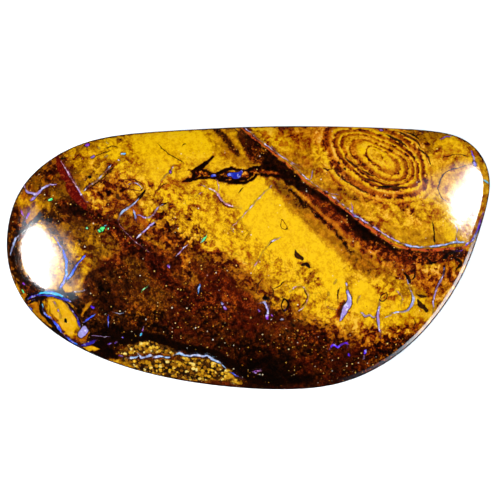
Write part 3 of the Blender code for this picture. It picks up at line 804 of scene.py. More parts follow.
# Each crack has its colour, its half width in pixels and its route, as the seams have.
CRACKS = {
    "orange line": (ORANGE, (0.6, 1.4, 0.5, 1.3, 0.6, 1.4, 0.5, 1.2, 0.5, 1.4, 0.7, 1.7, 1.0, 1.8, 1.0), (
        (242, 128.5), (252, 137), (261, 144), (272, 152.5), (281, 160), (290, 167), (297, 172.5), (304, 181),
        (314, 187.5), (326, 195.5), (345, 210.5), (368, 227.5), (396, 245.5), (428, 250), (468, 247))),
    "red wedge": (DEEP_RED, (2.0, 4.6, 5.3, 5.3, 4.4, 2.0), (
        (55, 154), (62, 167), (69, 180), (75, 191), (81, 200), (86, 207))),
    "black by the angle": (BLACK, 2.3, ((264.5, 297.5), (269, 299.5))),
    "dash under the leaf 1": (BLACK, 1.3, ((291, 323), (297, 326.5))),
    "dash under the leaf 2": (BLACK, 1.1, ((296, 318), (300, 321.5))),
    "dash under the leaf 3": (BLACK, 1.2, ((285, 329), (291, 333))),
    "blue seam's head": (BLACK, (1.0, 2.2, 1.4), ((145.5, 191.5), (142, 196), (138, 200.5))),
    "lilac seam's head": (BLACK, 1.0, ((168, 202), (164.5, 204.5), (161, 206.5))),
    "twin crack": (BLACK, 0.9, ((115, 167), (110, 171.5), (104, 178), (97, 183.5), (92, 187.5))),
    "black top spot": (BLACK, 2.2, ((62, 158.8), (64.5, 157.6))),
    "pebble's dark rim": (0.45, 0.7, (
        (123, 180), (129, 179.2), (136, 180.5), (144, 186.5), (142, 191), (134, 190), (126.5, 187),
        (123, 180))),
    "small ring": (BROWN, 0.8, (
        (107.5, 217), (110, 214.6), (113, 216.5), (112.5, 220), (109, 220.8), (107.5, 217))),
    "pink seam's tail": (RED, 0.9, ((162, 182), (158.5, 189), (154, 197))),
    "crack by the pink seam": (BROWN, 0.7, ((168, 183), (161, 187), (158, 192))),
    "short crack 1": (BROWN, 0.8, ((176, 223), (174.5, 228), (172.8, 233))),
    "short crack 2": (BROWN, 0.9, ((243.5, 188), (241, 190.5), (238.5, 193.5))),
    "middle seam, dark side": (RED, 0.7, ((214, 193.5), (219, 200.5), (227, 206.5), (235, 208.5))),
    "hair crack 1": (BROWN, 0.55, ((158, 144), (165, 151), (174, 157), (184, 163))),
    "hair crack 2": (BROWN, 0.55, ((112, 150), (107, 152), (98, 155), (93, 158))),
    "hair crack 3": (BROWN, 0.6, ((104, 149), (112, 146.5), (118, 147))),
    "hair crack 4": (BROWN, 0.6, ((182, 146.5), (184, 144.5), (186.5, 144))),
    "triangle": (0.5, 0.42, (
        (281.5, 219.5), (285, 224), (288, 229), (284, 229.5), (280.5, 226), (281.5, 219.5))),
    "dark dash": (BLACK, 0.8, ((274, 240.5), (271, 243), (268, 246))),
    "blot 1": (0.17, (1.2, 2.35, 1.9), ((295, 250), (297, 256), (302, 259))),
    "blot 2": (0.17, (1.4, 2.4, 1.5), ((302, 265), (306, 264), (309, 267))),
    "loop 1": (BROWN, 0.9, ((262, 279), (258, 285), (256, 292), (259, 295))),
    "loop 2": (BROWN, 0.9, ((270, 286), (273, 291), (271, 298), (266, 300))),
    "loop 3": (BROWN, 0.8, ((273, 289), (279, 286), (284, 281))),
    "leaf": (BLACK, (0.8, 1.3, 1.5, 1.3, 0.8, 1.2, 0.8), (
        (283.5, 297.5), (288, 302), (287.5, 306.5), (284, 311), (281.5, 307), (282, 302), (283.5, 297.5))),
    "oval ring, dark side": (BROWN, 0.8, ((304, 289), (306.3, 295), (305, 301), (300, 307.5))),
    "crack left of the sliver": (BROWN, 0.8, ((339.5, 287.5), (337, 293), (337.5, 301))),
    "sliver's dark side": (BROWN, 0.8, ((344.5, 300), (341, 308), (338.8, 317))),
    "bead": (BROWN, 0.9, (
        (386, 292.5), (381, 294.5), (379, 299.5), (383, 300.5), (386.5, 296), (386, 292.5))),
    "black crown 1": (0.1, (1.0, 2.2, 1.8), ((404, 273), (407, 277.5), (409, 282))),
    "black crown 2": (BLACK, (0.8, 1.6, 0.8), ((414, 272), (413.5, 276.5), (412, 279))),
    "right seam's head": (BLACK, (0.8, 1.4, 0.9), ((444.5, 266), (443.5, 271), (442, 276))),
    "dash 1": (0.2, (1, 2.0, 1), ((418, 295), (421, 296), (425, 296.3))),
    "dash 2": (0.2, (1.2, 2.2, 2.4, 1.4), ((417, 300), (419.5, 303.5), (423, 307), (426, 310.5))),
    "dash 3": (BROWN, 0.9, ((413.5, 319), (414.5, 324), (413.5, 328))),
    "dark of the blue bead": (BLACK, (1.8, 2.9, 2.0), ((199.6, 284.5), (199.2, 288.5), (198.8, 293))),
    "black eye": (BLACK, 2.3, ((65.8, 319.6), (66.4, 321.4))),
    "pebble's outline": (BLACK, (1.4, 2.4, 2.8, 2.8, 2.6, 2.2), (
        (42, 300), (41.5, 306), (43.5, 313), (50, 320), (57, 328), (63, 337))),
    "pebble's outline, right": (BLACK, (0.8, 1.8, 2.1, 1.8), (
        (66, 300.5), (72.5, 309), (79, 318), (81.5, 327))),
    "dark of the cyan seam": (BLACK, (2.0, 3.2, 3.4, 3.4, 3.2, 2.8, 1.8), (
        (27, 299), (34, 296.5), (42, 294), (50, 293), (58, 294.8), (65, 297.5), (71, 300))),
    "dark of the blue line": (BLACK, (0.8, 1.8, 2.0, 1.4), (
        (85, 257), (78, 264.5), (73, 272.5), (67.5, 281))),
    "black in the left corner": (BLACK, (1.4, 2.3, 2.0), ((30, 303), (36, 300), (42, 299))),
    "pebbles' foot": (BLACK, (1.4, 2.8, 2.8, 2.4), ((52, 329), (60, 335), (68, 341), (76, 345))),
    "right crack 1": (BROWN, 0.6, ((441, 157.8), (447, 156.8), (453, 155.2), (460, 155), (468, 157))),
    "right crack 2": (BROWN, 0.7, (
        (467, 165.5), (459, 168), (451, 170), (443.5, 174), (440, 180), (437.5, 188), (440, 196.5),
        (446, 202))),
    "crack to the seam": (BLACK, 0.85, ((431.5, 222), (433.3, 231), (434, 243.5))),
    "black under the seam 1": (BLACK, (1.2, 2.4, 1.4), ((444, 258), (450, 252.5), (457, 251.5))),
    "black under the seam 2": (BLACK, (1.0, 2.0, 1.2), ((455, 258), (461, 263), (457, 269))),
    "black under the seam 3": (BLACK, (1.0, 2.2, 1.2), ((426, 258), (431, 263), (436, 262))),
    "hatch 3": (0.2, 0.8, ((241, 133), (245, 139), (247, 146))),
    "hatch 4": (BROWN, 1.0, ((234, 128), (240, 133), (246, 136))),
    "spot 1": (BLACK, 1.9, ((89.5, 176.5), (90.5, 177.2))),
    "spot 2": (BLACK, 2.2, ((79, 240.5), (81, 241.8))),
    "spot 3": (BROWN, 2.6, ((118.5, 196.5), (120, 198.5))),
    "spot 4": (BROWN, 1.8, ((109.5, 170.5), (111, 172))),
    "dark smear": (BROWN, (0.6, 1.5, 1.8, 1.4, 0.8), (
        (377, 189), (383, 188.3), (389, 186.8), (396, 188), (404, 187.5))),
    "smear's core": (BLACK, (0.6, 1.3, 1.0), ((378, 187.6), (384, 187), (390, 186.6))),
    "ring spot 1": (BLACK, 1.3, ((337.5, 162.5), (339, 164))),
    "ring spot 2": (BLACK, 1.3, ((344, 169), (345, 170))),
    "ring spot 3": (BROWN, (0.8, 1.3, 0.8), ((324, 169), (327, 170.5), (330, 170))),
    "ring spot 4": (BROWN, (0.8, 1.4, 1.0), ((333, 170), (336, 172), (339, 176))),
    "ring spot 5": (BROWN, (0.6, 1.3, 0.8), ((341, 177), (345, 181), (350, 184))),
    "ring spot 6": (BROWN, (0.6, 1.4, 0.8), ((351, 185), (358, 189), (366, 193))),
    "ring spot 7": (BROWN, (0.6, 1.2, 0.6), ((345, 158), (350, 163), (356, 166))),
    "ring spot 8": (BROWN, (0.6, 1.4, 0.6), ((362, 171), (367, 174), (373, 176))),
    "ring spot 9": (BROWN, (0.6, 1.2, 0.6), ((362, 178), (368, 180), (374, 182))),
    "ring top 1": (BROWN, (0.8, 1.5, 1.7, 1.0), ((386, 135), (393, 138), (400, 142), (406, 147))),
    "ring top 2": (BROWN, (0.8, 1.4, 1.4, 0.8), ((400, 132.5), (408, 137), (416, 141), (420, 147))),
    "ring top 3": (BROWN, (0.8, 1.3, 1.2, 0.8), ((418, 148), (423, 153), (427, 157), (430, 164))),
    "ring top 4": (BLACK, (0.6, 1.3, 0.6), ((408, 133), (413, 135.5), (418, 139))),
}
print(len(CRACKS), "cracks filled with iron")

# %% [markdown]
# ## From routes to numbers on the corners
#
# A picture painted on a flat sheet would stretch on the rim and say nothing about the sides. Numbers on
# the mesh's corners don't: each corner knows how far it is from a seam, and the material turns that
# distance into a crisp edge at any closeness. Below the girdle's top the whole pattern slants, as
# seams do where they go down into a stone.

# %% Slant the pattern down the sides
SLANT = np.array([0.35, -0.55])
girdle_top = section[section[:, 0] < SAME_LEVEL, 1].max()
depth = np.maximum(girdle_top - points[:, 2], 0)
pixels = to_pixels(points[:, :2] + depth[:, None] * SLANT)
on_back = np.arange(len(points)) >= back_start
print("pattern measured at", len(pixels), "corners,", on_back.sum(), "of them on the back")

# %% Shake the places, so that areas get ragged edges
# Each shake has its length and its reach in pixels. The seed makes it come out the same every time.
SHAKES = ((14.0, 2.0), (6.0, 1.3), (3.4, 0.8))
SHAKE_SEED = 1
noise.seed_set(SHAKE_SEED)


def shaken(at):
    """The pixels moved about by a few at random, more over long distances than over short ones."""
    moved = at.copy()
    for size, reach in SHAKES:
        for row, (x, y) in enumerate(at / size):
            moved[row] += reach * np.array(noise.noise_vector((x, y, size)))[:2]
    return moved


ragged_pixels = shaken(pixels)
print("places moved by up to", round(np.abs(ragged_pixels - pixels).max(), 1), "pixels")


# %% Measure distances to routes
def smooth_route(route, widths, step=2.0):
    """The route as a smooth line with a point every few pixels, each with its half width."""
    route = np.array(route, float)
    if np.isscalar(widths):
        widths = np.full(len(route), widths)
    else:
        widths = np.interp(np.linspace(0, 1, len(route)), np.linspace(0, 1, len(widths)), widths)
    padded = np.vstack([2 * route[0] - route[1], route, 2 * route[-1] - route[-2]])
    smooth, half_widths = [], []
    for k in range(len(route) - 1):
        before, start, end, after = padded[k : k + 4]
        count = max(1, int(np.linalg.norm(end - start) / step))
        for share in np.arange(count) / count:
            bend = 2 * before - 5 * start + 4 * end - after + share * (3 * (start - end) + after - before)
            smooth.append(start + 0.5 * share * (end - before + share * bend))
            half_widths.append(widths[k] + share * (widths[k + 1] - widths[k]))
    return np.array(smooth + [route[-1]]), np.array(half_widths + [widths[-1]])


def measure(line, at):
    """For each point: its distance from the line, the side it is on, and how far along the line, in steps."""
    runs = np.diff(line, axis=0)
    offsets = at[:, None, :] - line[:-1]
    shares = np.clip((offsets * runs).sum(axis=2) / (runs**2).sum(axis=1), 0, 1)
    gaps = np.linalg.norm(offsets - shares[..., None] * runs, axis=2)
    best = gaps.argmin(axis=1)
    row = np.arange(len(at))
    cross = runs[best, 0] * offsets[row, best, 1] - runs[best, 1] * offsets[row, best, 0]
    return gaps[row, best], np.where(cross < 0, -1.0, 1.0), best + shares[row, best]


seam_line, _ = smooth_route(SEAMS["long seam, middle"][2], 1.0)
print("the middle of the long seam is a line of", len(seam_line), "points")


# %% Measure how far places are inside an outline
def near(line, margin, at=pixels):
    """The numbers of the places in the line's box, widened by the margin."""
    low, high = line.min(axis=0) - margin, line.max(axis=0) + margin
    return np.flatnonzero(((at > low) & (at < high)).all(axis=1))


def inside_by(outline_pixels, margin, places=ragged_pixels):
    """How far each place is inside the outline, in pixels, or minus the margin if it is farther outside."""
    outline_pixels = np.array(outline_pixels, float)
    closed, _ = smooth_route(np.vstack([outline_pixels, outline_pixels[:1]]), 0.0, step=6.0)
    result = np.full(len(places), -float(margin))
    close = near(closed, margin, places)
    at = places[close]
    distance, _, _ = measure(closed, at)
    ahead = np.roll(closed, -1, axis=0)
    straddles = (closed[:, 1] > at[:, 1:2]) != (ahead[:, 1] > at[:, 1:2])
    rise = np.where(ahead[:, 1] == closed[:, 1], 1, ahead[:, 1] - closed[:, 1])
    crossing = closed[:, 0] + (at[:, 1:2] - closed[:, 1]) * (ahead[:, 0] - closed[:, 0]) / rise
    inside = (straddles & (at[:, :1] < crossing)).sum(axis=1) % 2 == 1
    result[close] = np.where(inside, distance, -distance)
    return result


middle_area = inside_by(AREAS["golden middle"][4], AREAS["golden middle"][3])
print("the golden middle holds", (middle_area > 0).sum(), "corners")

# %% Lay the ground
ground = np.tile([BASE_TONE, BASE_RUST, BASE_MOTTLE], (len(points), 1))


def cover(values, share, targets):
    """Moves the columns of values towards the targets by each corner's share."""
    values += share[:, None] * (np.array(targets) - values)


for tone, rust, mottle, soft, area in AREAS.values():
    cover(ground, fade_in(inside_by(area, soft) + soft / 2, soft), (tone, rust, mottle))


def band_share(widths, soft, route):
    """1 on the band, 0 away from it, with a soft edge."""
    line, half_widths = smooth_route(route, widths, step=4.0)
    close = near(line, half_widths.max() + soft, ragged_pixels)
    distance, _, step = measure(line, ragged_pixels[close])
    share = np.zeros(len(pixels))
    width = np.interp(step, np.arange(len(line)), half_widths)
    share[close] = fade_in(width + soft / 2 - distance, soft)
    return share


for tone, rust, mottle, soft, widths, route in BANDS.values():
    cover(ground, band_share(widths, soft, route), (tone, rust, mottle))

# Painted shade: the ground's tone is darkened on the steep lip of the stone and on the girdle below it.
LIP, LIP_FADE, RIM_SHADE_DARKNESS = 0.42 * MM, 0.3 * MM, 0.72
painted_rim_shade = fade_in(girdle_top + LIP - points[:, 2], LIP_FADE)
ground[:, 0] *= 1 - RIM_SHADE_DARKNESS * painted_rim_shade
print("tone from", round(ground[:, 0].min(), 2), "to", round(ground[:, 0].max(), 2))

# %% Sand and glitter
SANDY = ("sandy lens, upper", "sandy lens, lower", "sandy lens, under the thread")
sand = np.max([band_share(BANDS[name][4], BANDS[name][3], BANDS[name][5]) for name in SANDY], axis=0)
# No sand is laid in the painted rim shade.
sand *= 1 - painted_rim_shade

# Sparks show best in dark ground, but not in the black, and a few are left everywhere.
FEWEST_SPARKS = 0.05
dark_enough = np.clip(1.1 - 1.5 * ground[:, 0], FEWEST_SPARKS, 1)
not_black = np.clip(8 * ground[:, 0] - 0.3, FEWEST_SPARKS, 1)
glitter = dark_enough * not_black * (1 - sand)
print("sand covers", round((sand > 0).mean() * 100, 1), "percent of the corners")

# %% Place every corner among the rings
# The rings as outlines from the heart outwards; every corner gets its place between two of them.
# Outlines are measured as far as RING_REACH pixels off, and inside the first one the place falls by 1
# in HEART_STEP pixels.
RING_REACH = 60
HEART_STEP = 4
RING_GUIDES = (
    ((370, 151), (371, 155.5), (374.5, 159), (379, 160), (379.5, 156.5), (376, 152.5), (372.5, 150)),
    ((366, 150), (367, 156), (371.5, 162), (378, 167), (384, 172), (391, 175), (397, 172.5), (399.5, 166.5),
     (397, 160.5), (391, 156), (384, 152.5), (377, 148.5), (371, 146.5), (367.5, 147)),
    ((351.5, 149), (351, 144), (354.5, 140.5), (361, 139), (368.5, 140), (376, 144.5), (384, 148.5),
     (392, 152.5), (399, 156.5), (404.5, 162), (406.5, 169), (405.5, 176), (400, 180.5), (391, 181.5),
     (382, 179.5), (373, 175), (365, 169.5), (358, 163), (353, 156)),
    ((342, 149), (341, 143), (343.5, 137.5), (350, 134.5), (358, 134), (366.5, 136), (375.5, 139),
     (384, 142.5), (392.5, 147), (400.5, 151.5), (408, 157.5), (412.5, 164.5), (413.5, 172), (412, 179),
     (406, 183.5), (396, 185.5), (385, 185.5), (376, 182.5), (367, 177.5), (359, 171.5), (352, 164.5),
     (346.5, 157.5)),
    ((335, 149), (333.5, 142.5), (335.5, 136), (341, 131.5), (350, 129.8), (360, 129.8), (371, 132.5),
     (381, 136.5), (391, 140), (399, 144.5), (406.5, 150.5), (413, 156.5), (417, 164), (417.5, 173),
     (419, 181.5), (413.5, 187.5), (403, 189), (391, 189.5), (380, 188.5), (370, 184.5), (361, 178.5),
     (352, 171.5), (344, 163), (338, 156)),
    ((326.5, 150), (324.5, 139), (328, 128), (345, 123), (370, 125), (390, 131), (402, 138), (411, 146),
     (419, 155), (422.5, 166), (423, 177), (425, 187), (416, 195), (402, 197.5), (386, 197), (370, 193.5),
     (357, 187.5), (345.5, 180), (337, 170), (330, 160)),
    ((311, 150), (309, 138), (314, 126), (340, 112), (375, 114), (398, 122), (412, 132), (422, 142),
     (430, 154), (434, 167), (435, 180), (436, 192), (425, 203), (405, 208), (386, 208), (366, 203),
     (350, 196), (334, 187), (322, 174), (315, 162)),
)
nested = [inside_by(guide, RING_REACH, pixels) for guide in RING_GUIDES]
ring_place = np.full(len(pixels), float(len(RING_GUIDES)))
for number in range(len(nested) - 1, 0, -1):
    outer, inner = nested[number], nested[number - 1]
    between = number - outer / np.maximum(outer - inner, 0.01)
    ring_place = np.where((outer > 0) & (inner <= 0), between, ring_place)
ring_place = np.where(nested[0] > 0, -nested[0] / HEART_STEP, ring_place)
ring_share = np.clip(2 * (len(RING_GUIDES) - 1 - ring_place), 0, 1)
print("rings cover", round((ring_share > 0).mean() * 100, 1), "percent of the corners")

# %% Sort the lines into layers
# All lengths are in pixels. Every corner within LINE_REACH of a line's edge holds the line's numbers,
# and lines in the same layer keep SPACING more between them. A corner that no line reaches holds
# NO_LINE, which is far off and has no width. The listed lines come out a little wide, so they are
# thinned, but a line wider than WIDE_LINE is a pool and keeps its width. A line of even width runs out
# to TIP_WIDTH of it over TAPER at both ends. A pool and a route shorter than SHORT_ROUTE have no sides.
LINE_REACH = 2.2
SPACING = 1.5
NO_LINE = (9.0, -3.0, 0.0)
SHORT_ROUTE = 5.0
WIDE_LINE = 2.3
TAPER = 3.0
TIP_WIDTH = 0.35
SEAM_THIN, CRACK_THIN = 0.52, 0.85


def line_layers(lines, thin):
    """Layers of (signed distance, half width, colour) on the corners. In a layer no line nears another."""
    layers, taken = [], []
    for colour, widths, route in lines.values():
        line, half_widths = smooth_route(route, widths)
        length = np.linalg.norm(np.diff(line, axis=0), axis=1).sum()
        close = near(line, half_widths.max() + LINE_REACH + SPACING)
        close = close[~on_back[close]]
        distance, side, step = measure(line, pixels[close])
        width = np.interp(step, np.arange(len(line)), half_widths)
        if half_widths.max() <= WIDE_LINE:
            width *= thin
        closed = np.hypot(*(line[0] - line[-1])) < 1
        if np.isscalar(widths) and length > SHORT_ROUTE and not closed:
            along = step / (len(line) - 1) * length
            width *= TIP_WIDTH + (1 - TIP_WIDTH) * fade_in(np.minimum(along, length - along), TAPER)
        if length < SHORT_ROUTE or half_widths.max() > WIDE_LINE:
            side = np.ones(len(side))
        apart = distance < width + LINE_REACH + SPACING
        free = [k for k, used in enumerate(taken) if not used[close[apart]].any()]
        if not free:
            layers.append(np.tile(NO_LINE, (len(points), 1)))
            taken.append(np.zeros(len(points), bool))
            free = [len(layers) - 1]
        taken[free[0]][close[apart]] = True
        drawn = distance < width + LINE_REACH
        layers[free[0]][close[drawn]] = np.column_stack(
            [(distance * side)[drawn], width[drawn], np.full(drawn.sum(), colour)])
    return layers


seam_layers = line_layers(SEAMS, SEAM_THIN)
crack_layers = line_layers(CRACKS, CRACK_THIN)
print("the seams fill", len(seam_layers), "layers and the cracks", len(crack_layers))


# %% Store the numbers on the mesh
def store(name, values):
    """Keeps one number, or three, for every corner of the mesh under the name."""
    kind = "FLOAT_VECTOR" if values.ndim == 2 else "FLOAT"
    attribute = mesh.attributes.new(name, kind, "POINT")
    attribute.data.foreach_set("vector" if values.ndim == 2 else "value", values.astype(np.float32).ravel())


store("ground", ground)
store("grit", np.column_stack([sand, glitter, on_back]))
# A stored vector has three numbers, and the rings need only two of them.
store("ring", np.column_stack([ring_place / (len(RING_GUIDES) - 1), ring_share, np.zeros(len(points))]))
for number, layer in enumerate(seam_layers):
    store(f"seam_{number}", layer)
for number, layer in enumerate(crack_layers):
    store(f"crack_{number}", layer)
print(len(mesh.attributes), "attributes on the mesh")

# %% [markdown]
# ## Sums as nodes
#
# A material is a net of nodes, and a long sum drawn as nodes is hard to read. Here a node's output is
# wrapped so that plain Python sums can be written on it: each operator adds the Math nodes it needs.

# %% Wrap a node's output
class Wire:
    """The output of a node, with arithmetic that adds Math nodes to its tree."""

    def __init__(self, socket):
        self.socket = socket

    def math(self, operation, first, second):
        node = self.socket.id_data.nodes.new("ShaderNodeMath")
        node.operation = operation
        connect(first, node.inputs[0])
        connect(second, node.inputs[1])
        return Wire(node.outputs[0])

    def __add__(self, other):
        return self.math("ADD", self, other)

    def __sub__(self, other):
        return self.math("SUBTRACT", self, other)

    def __mul__(self, other):
        return self.math("MULTIPLY", self, other)

    def __truediv__(self, other):
        return self.math("DIVIDE", self, other)

    def __rsub__(self, other):
        return self.math("SUBTRACT", other, self)

    def __abs__(self):
        return self.math("MAXIMUM", self, self * -1)

    def at_most(self, other):
        return self.math("MINIMUM", self, other)

    def at_least(self, other):
        return self.math("MAXIMUM", self, other)

    __radd__ = __add__
    __rmul__ = __mul__


def connect(value, socket):
    """Links a wire to the socket, or sets the socket to a plain value."""
    if isinstance(value, Wire):
        socket.id_data.links.new(value.socket, socket)
    else:
        socket.default_value = value


# %% Build a material
class Look:
    """A material under construction, with one method that adds any node."""

    def __init__(self, name):
        self.material = bpy.data.materials.new(name)
        self.material.use_nodes = True
        self.nodes = self.material.node_tree.nodes
        self.nodes.clear()

    def node(self, kind, settings=(), output=0, **values):
        """Adds a node, applies its settings, feeds its sockets by name, and gives the wished output."""
        node = self.nodes.new(kind)
        for name, value in dict(settings).items():
            if name == "stops":
                self.set_stops(node.color_ramp, value)
            else:
                setattr(node, name, value)
        for name, value in values.items():
            plain = name.replace("_", " ")
            fitting = [
                socket for socket in node.inputs
                if plain in (socket.identifier.replace("_", " "), socket.name)]
            connect(value, fitting[0])
        return Wire(node.outputs[output]) if node.outputs else None

    def finish(self, shader):
        """Puts the shader on the surface."""
        self.node("ShaderNodeOutputMaterial", Surface=shader)

    def set_stops(self, ramp, stops):
        """Gives a ramp its stops, each a place from 0 to 1 and a colour."""
        while len(ramp.elements) < len(stops):
            ramp.elements.new(1.0)
        for element, (position, colour) in zip(ramp.elements, stops):
            element.position = position
            element.color = colour


print(len(bpy.data.materials), "materials before the first look")

# %% [markdown]
# ## Helpers for this stone
#
# The same few steps come back all the time: a soft threshold, a cloud of noise, a mix of two colours
# and a ramp. Colours are written as they look in the picture and turned into the stone's own colour by
# dividing out the strength of the light.

# %% Start the material, and turn seen colours into its own
# A screen's numbers from 0 to 255 are bent, so they are made straight first, as the standard for
# screens says, and then divided by the light.
LIGHT_ON_STONE = 2.3
WHITE = 255
DARK_PART, DARK_SLOPE = 10.3, 12.92
BRIGHT_SHIFT, BRIGHT_POWER = 0.055, 2.4

look = Look("ironstone_with_opal")


def seen(red, green, blue, light=LIGHT_ON_STONE):
    """A colour as the picture shows it, from 0 to 255, as the colour of the surface."""
    straight = [
        part / WHITE / DARK_SLOPE if part < DARK_PART
        else ((part / WHITE + BRIGHT_SHIFT) / (1 + BRIGHT_SHIFT)) ** BRIGHT_POWER
        for part in (red, green, blue)
    ]
    return (*[part / light for part in straight], 1.0)


def steps(*rows, light=LIGHT_ON_STONE):
    """A ramp's stops from rows of a place on the ramp and the colour seen there."""
    return [(at, seen(*colour, light)) for at, colour in rows]


print("white paper would be", [round(part, 2) for part in seen(WHITE, WHITE, WHITE)[:3]])

# %% Short names for the usual nodes
# Every length is in millimetres. Noise has spots of about SPOT_SIZE of its own unit, so its scale is
# that over the length of a spot.
SPOT_SIZE = 0.55
place = look.node("ShaderNodeTexCoord", output=3)


def split(vector, axis=0):
    """One of a vector's three numbers."""
    return look.node("ShaderNodeSeparateXYZ", output=axis, Vector=vector)


def numbers(name):
    """The three numbers stored on the mesh under the name."""
    stored = look.node("ShaderNodeAttribute", {"attribute_name": name}, output=1)
    return [split(stored, axis) for axis in range(3)]


def fade(value, low, high):
    """0 below low and 1 above high, smooth between; with low above high, the other way round."""
    return look.node(
        "ShaderNodeMapRange", {"interpolation_type": "SMOOTHSTEP"}, Value=value, From_Min=low, From_Max=high)


def cloud(size_mm, seed, detail=2.0, roughness=0.5, at=place):
    """Noise with spots of about that many millimetres, from -0.5 to 0.5."""
    grey = look.node(
        "ShaderNodeTexNoise", {"noise_dimensions": "4D"}, Vector=at, W=seed, Scale=SPOT_SIZE / (size_mm * MM),
        Detail=detail, Roughness=roughness)
    return grey - 0.5


def patches(size_mm, seed, detail=2.0, roughness=0.5, at=place, edge=0.12):
    """The same with firm edges: mostly -0.5 or 0.5."""
    return fade(cloud(size_mm, seed, detail, roughness, at), -edge, edge) - 0.5


def mix(first, second, share):
    """The second colour over the first, by a share from 0 to 1."""
    return look.node(
        "ShaderNodeMix", {"data_type": "RGBA"}, output=2, Factor_Float=share, A_Color=first, B_Color=second)


def ramp(value, stops):
    """The colour that the stops give for the value."""
    return look.node("ShaderNodeValToRGB", {"stops": stops}, Fac=value)


def cells(size_mm, seed, feature="F1", output=0, at=place):
    """Cells of about that many millimetres: distance from the middle, or a random colour with output 1."""
    moved = look.node("ShaderNodeVectorMath", {"operation": "ADD"}, Vector=at, Vector_001=(seed, seed, seed))
    return look.node(
        "ShaderNodeTexVoronoi", {"feature": feature}, output=output, Vector=moved, Scale=1 / (size_mm * MM))


tone, rust, mottle = numbers("ground")
sand, glitter, back = numbers("grit")
ring_place, ring_share, _ = numbers("ring")
print("the ground's numbers are read with", len(look.nodes), "nodes")

# %% [markdown]
# ## Golden and rusty ironstone
#
# The tone that the areas and bands laid down is only a broad plan. Noise breaks it up: drifts a few
# millimetres wide, firm blotches of under a millimetre, flecks, and the sand grains themselves. Two
# ramps then turn the tone into colour, one for golden and one for rusty ground. They have steps, since
# iron stains sandstone in patches with firm edges and not in smooth shades.

# %% List the steps of gold and rust
GOLD_STOPS = steps(
    (0.0, (5, 1, 0)),
    (0.1, (26, 6, 0)),
    (0.2, (51, 18, 1)),
    (0.3, (78, 35, 1)),
    (0.4, (103, 55, 1)),
    (0.5, (129, 77, 1)),
    (0.6, (155, 94, 1)),
    (0.7, (180, 116, 2)),
    (0.8, (206, 141, 3)),
    (0.9, (232, 169, 5)),
    (1.0, (254, 196, 10)),
)
RUST_STOPS = steps(
    (0.0, (6, 1, 0)),
    (0.1, (30, 3, 0)),
    (0.2, (58, 8, 1)),
    (0.3, (84, 18, 1)),
    (0.4, (110, 32, 2)),
    (0.5, (138, 50, 3)),
    (0.6, (166, 72, 4)),
    (0.7, (194, 98, 8)),
    (0.8, (218, 124, 16)),
    (0.9, (240, 152, 34)),
    (1.0, (254, 186, 80)),
)
print(len(GOLD_STOPS), "steps of gold and", len(RUST_STOPS), "of rust")

# %% Make the ground's noises
# The places are shaken first, so that firm blotches get crumbled edges. Blotches and streaks lie along
# the stone's bedding, and are BEDDING_STRETCH times as long that way as across.
SHAKE = 0.4 * MM
BEDDING_TURN = math.radians(-36)
BEDDING_STRETCH = 2.3

shake = look.node(
    "ShaderNodeTexNoise", output=1, Vector=place, Scale=SPOT_SIZE / SHAKE, Detail=1.0, Roughness=0.5)
shake_small = look.node("ShaderNodeVectorMath", {"operation": "SCALE"}, Vector=shake, Scale=SHAKE)
shaken_place = look.node("ShaderNodeVectorMath", {"operation": "ADD"}, Vector=place, Vector_001=shake_small)
shaken_bedded = look.node(
    "ShaderNodeMapping", {"vector_type": "TEXTURE"}, Vector=shaken_place, Rotation=(0, 0, BEDDING_TURN),
    Scale=(BEDDING_STRETCH, 1, 1))

drift = cloud(2.6, 1.0)
blotch = patches(0.62, 2.0, detail=2.0, at=shaken_bedded, edge=0.07)
streak = patches(0.24, 4.0, detail=1.0, at=shaken_bedded, edge=0.09)
spot = patches(0.27, 3.0, detail=1.0, at=shaken_place, edge=0.06)
fleck = patches(0.15, 5.0, detail=2.0, roughness=0.6, edge=0.06)
grain = patches(0.09, 5.5, detail=1.0, roughness=0.6, edge=0.12)
busy = fade(cloud(1.7, 15.0, detail=2.0), -0.12, 0.12) * 0.7 + 0.65
wander = cloud(0.3, 6.0, detail=2.0)
swell = cloud(0.5, 7.0, detail=1.0)
print(len(look.nodes), "nodes with the noises")

# %% Break the tone up
# The numbers say how far each noise swings the tone. Pale ground has large spots, and in dark ground
# fine flecks take over. The swing is widest for middle tones, and SKEW lets dark ground go farther up
# than down, and pale ground farther down than up.
DARKEST, PALEST = 0.03, 0.97
SKEW = 0.7


def broken(plan, amount):
    """The planned tone broken up by noise: dark spots on pale ground, and pale flecks on dark ground."""
    kept = plan.at_least(DARKEST).at_most(PALEST)
    fine = fade(kept, 0.5, 0.2)
    large = (blotch * 1.3 + streak * 0.9) * (1 - fine * 0.4) + spot * 1.5
    small = (fleck + grain) * (0.3 + fine * 0.9)
    swing = (large + small) * amount * busy
    skew = (0.5 - kept) * swing * swing * SKEW
    dust = (grain * 0.19 + fleck * 0.13 + spot * 0.1) * amount
    return kept + kept * (1 - kept) * (swing + skew) + dust


broken_tone = broken(tone + drift * 0.18, mottle)
stained = fade(tone - broken_tone, 0.04, 0.25) * 0.6
rust_noise = cloud(1.3, 8.0, detail=4.0, roughness=0.7) * 1.1 + streak * 0.16 + spot * 0.1
rust_here = fade(rust + stained + rust_noise, 0.1, 0.8)
print("the ground's noise is in")

# %% [markdown]
# ## The rings
#
# Iron soaked into the rock in waves, and each wave left a ring. They aren't quite round or evenly
# spaced. The outlines traced above give each corner its place among them, from 0 at the heart to 1, and
# the ramp below lists how dark the stone is on the way out. Noise makes the rings waver.

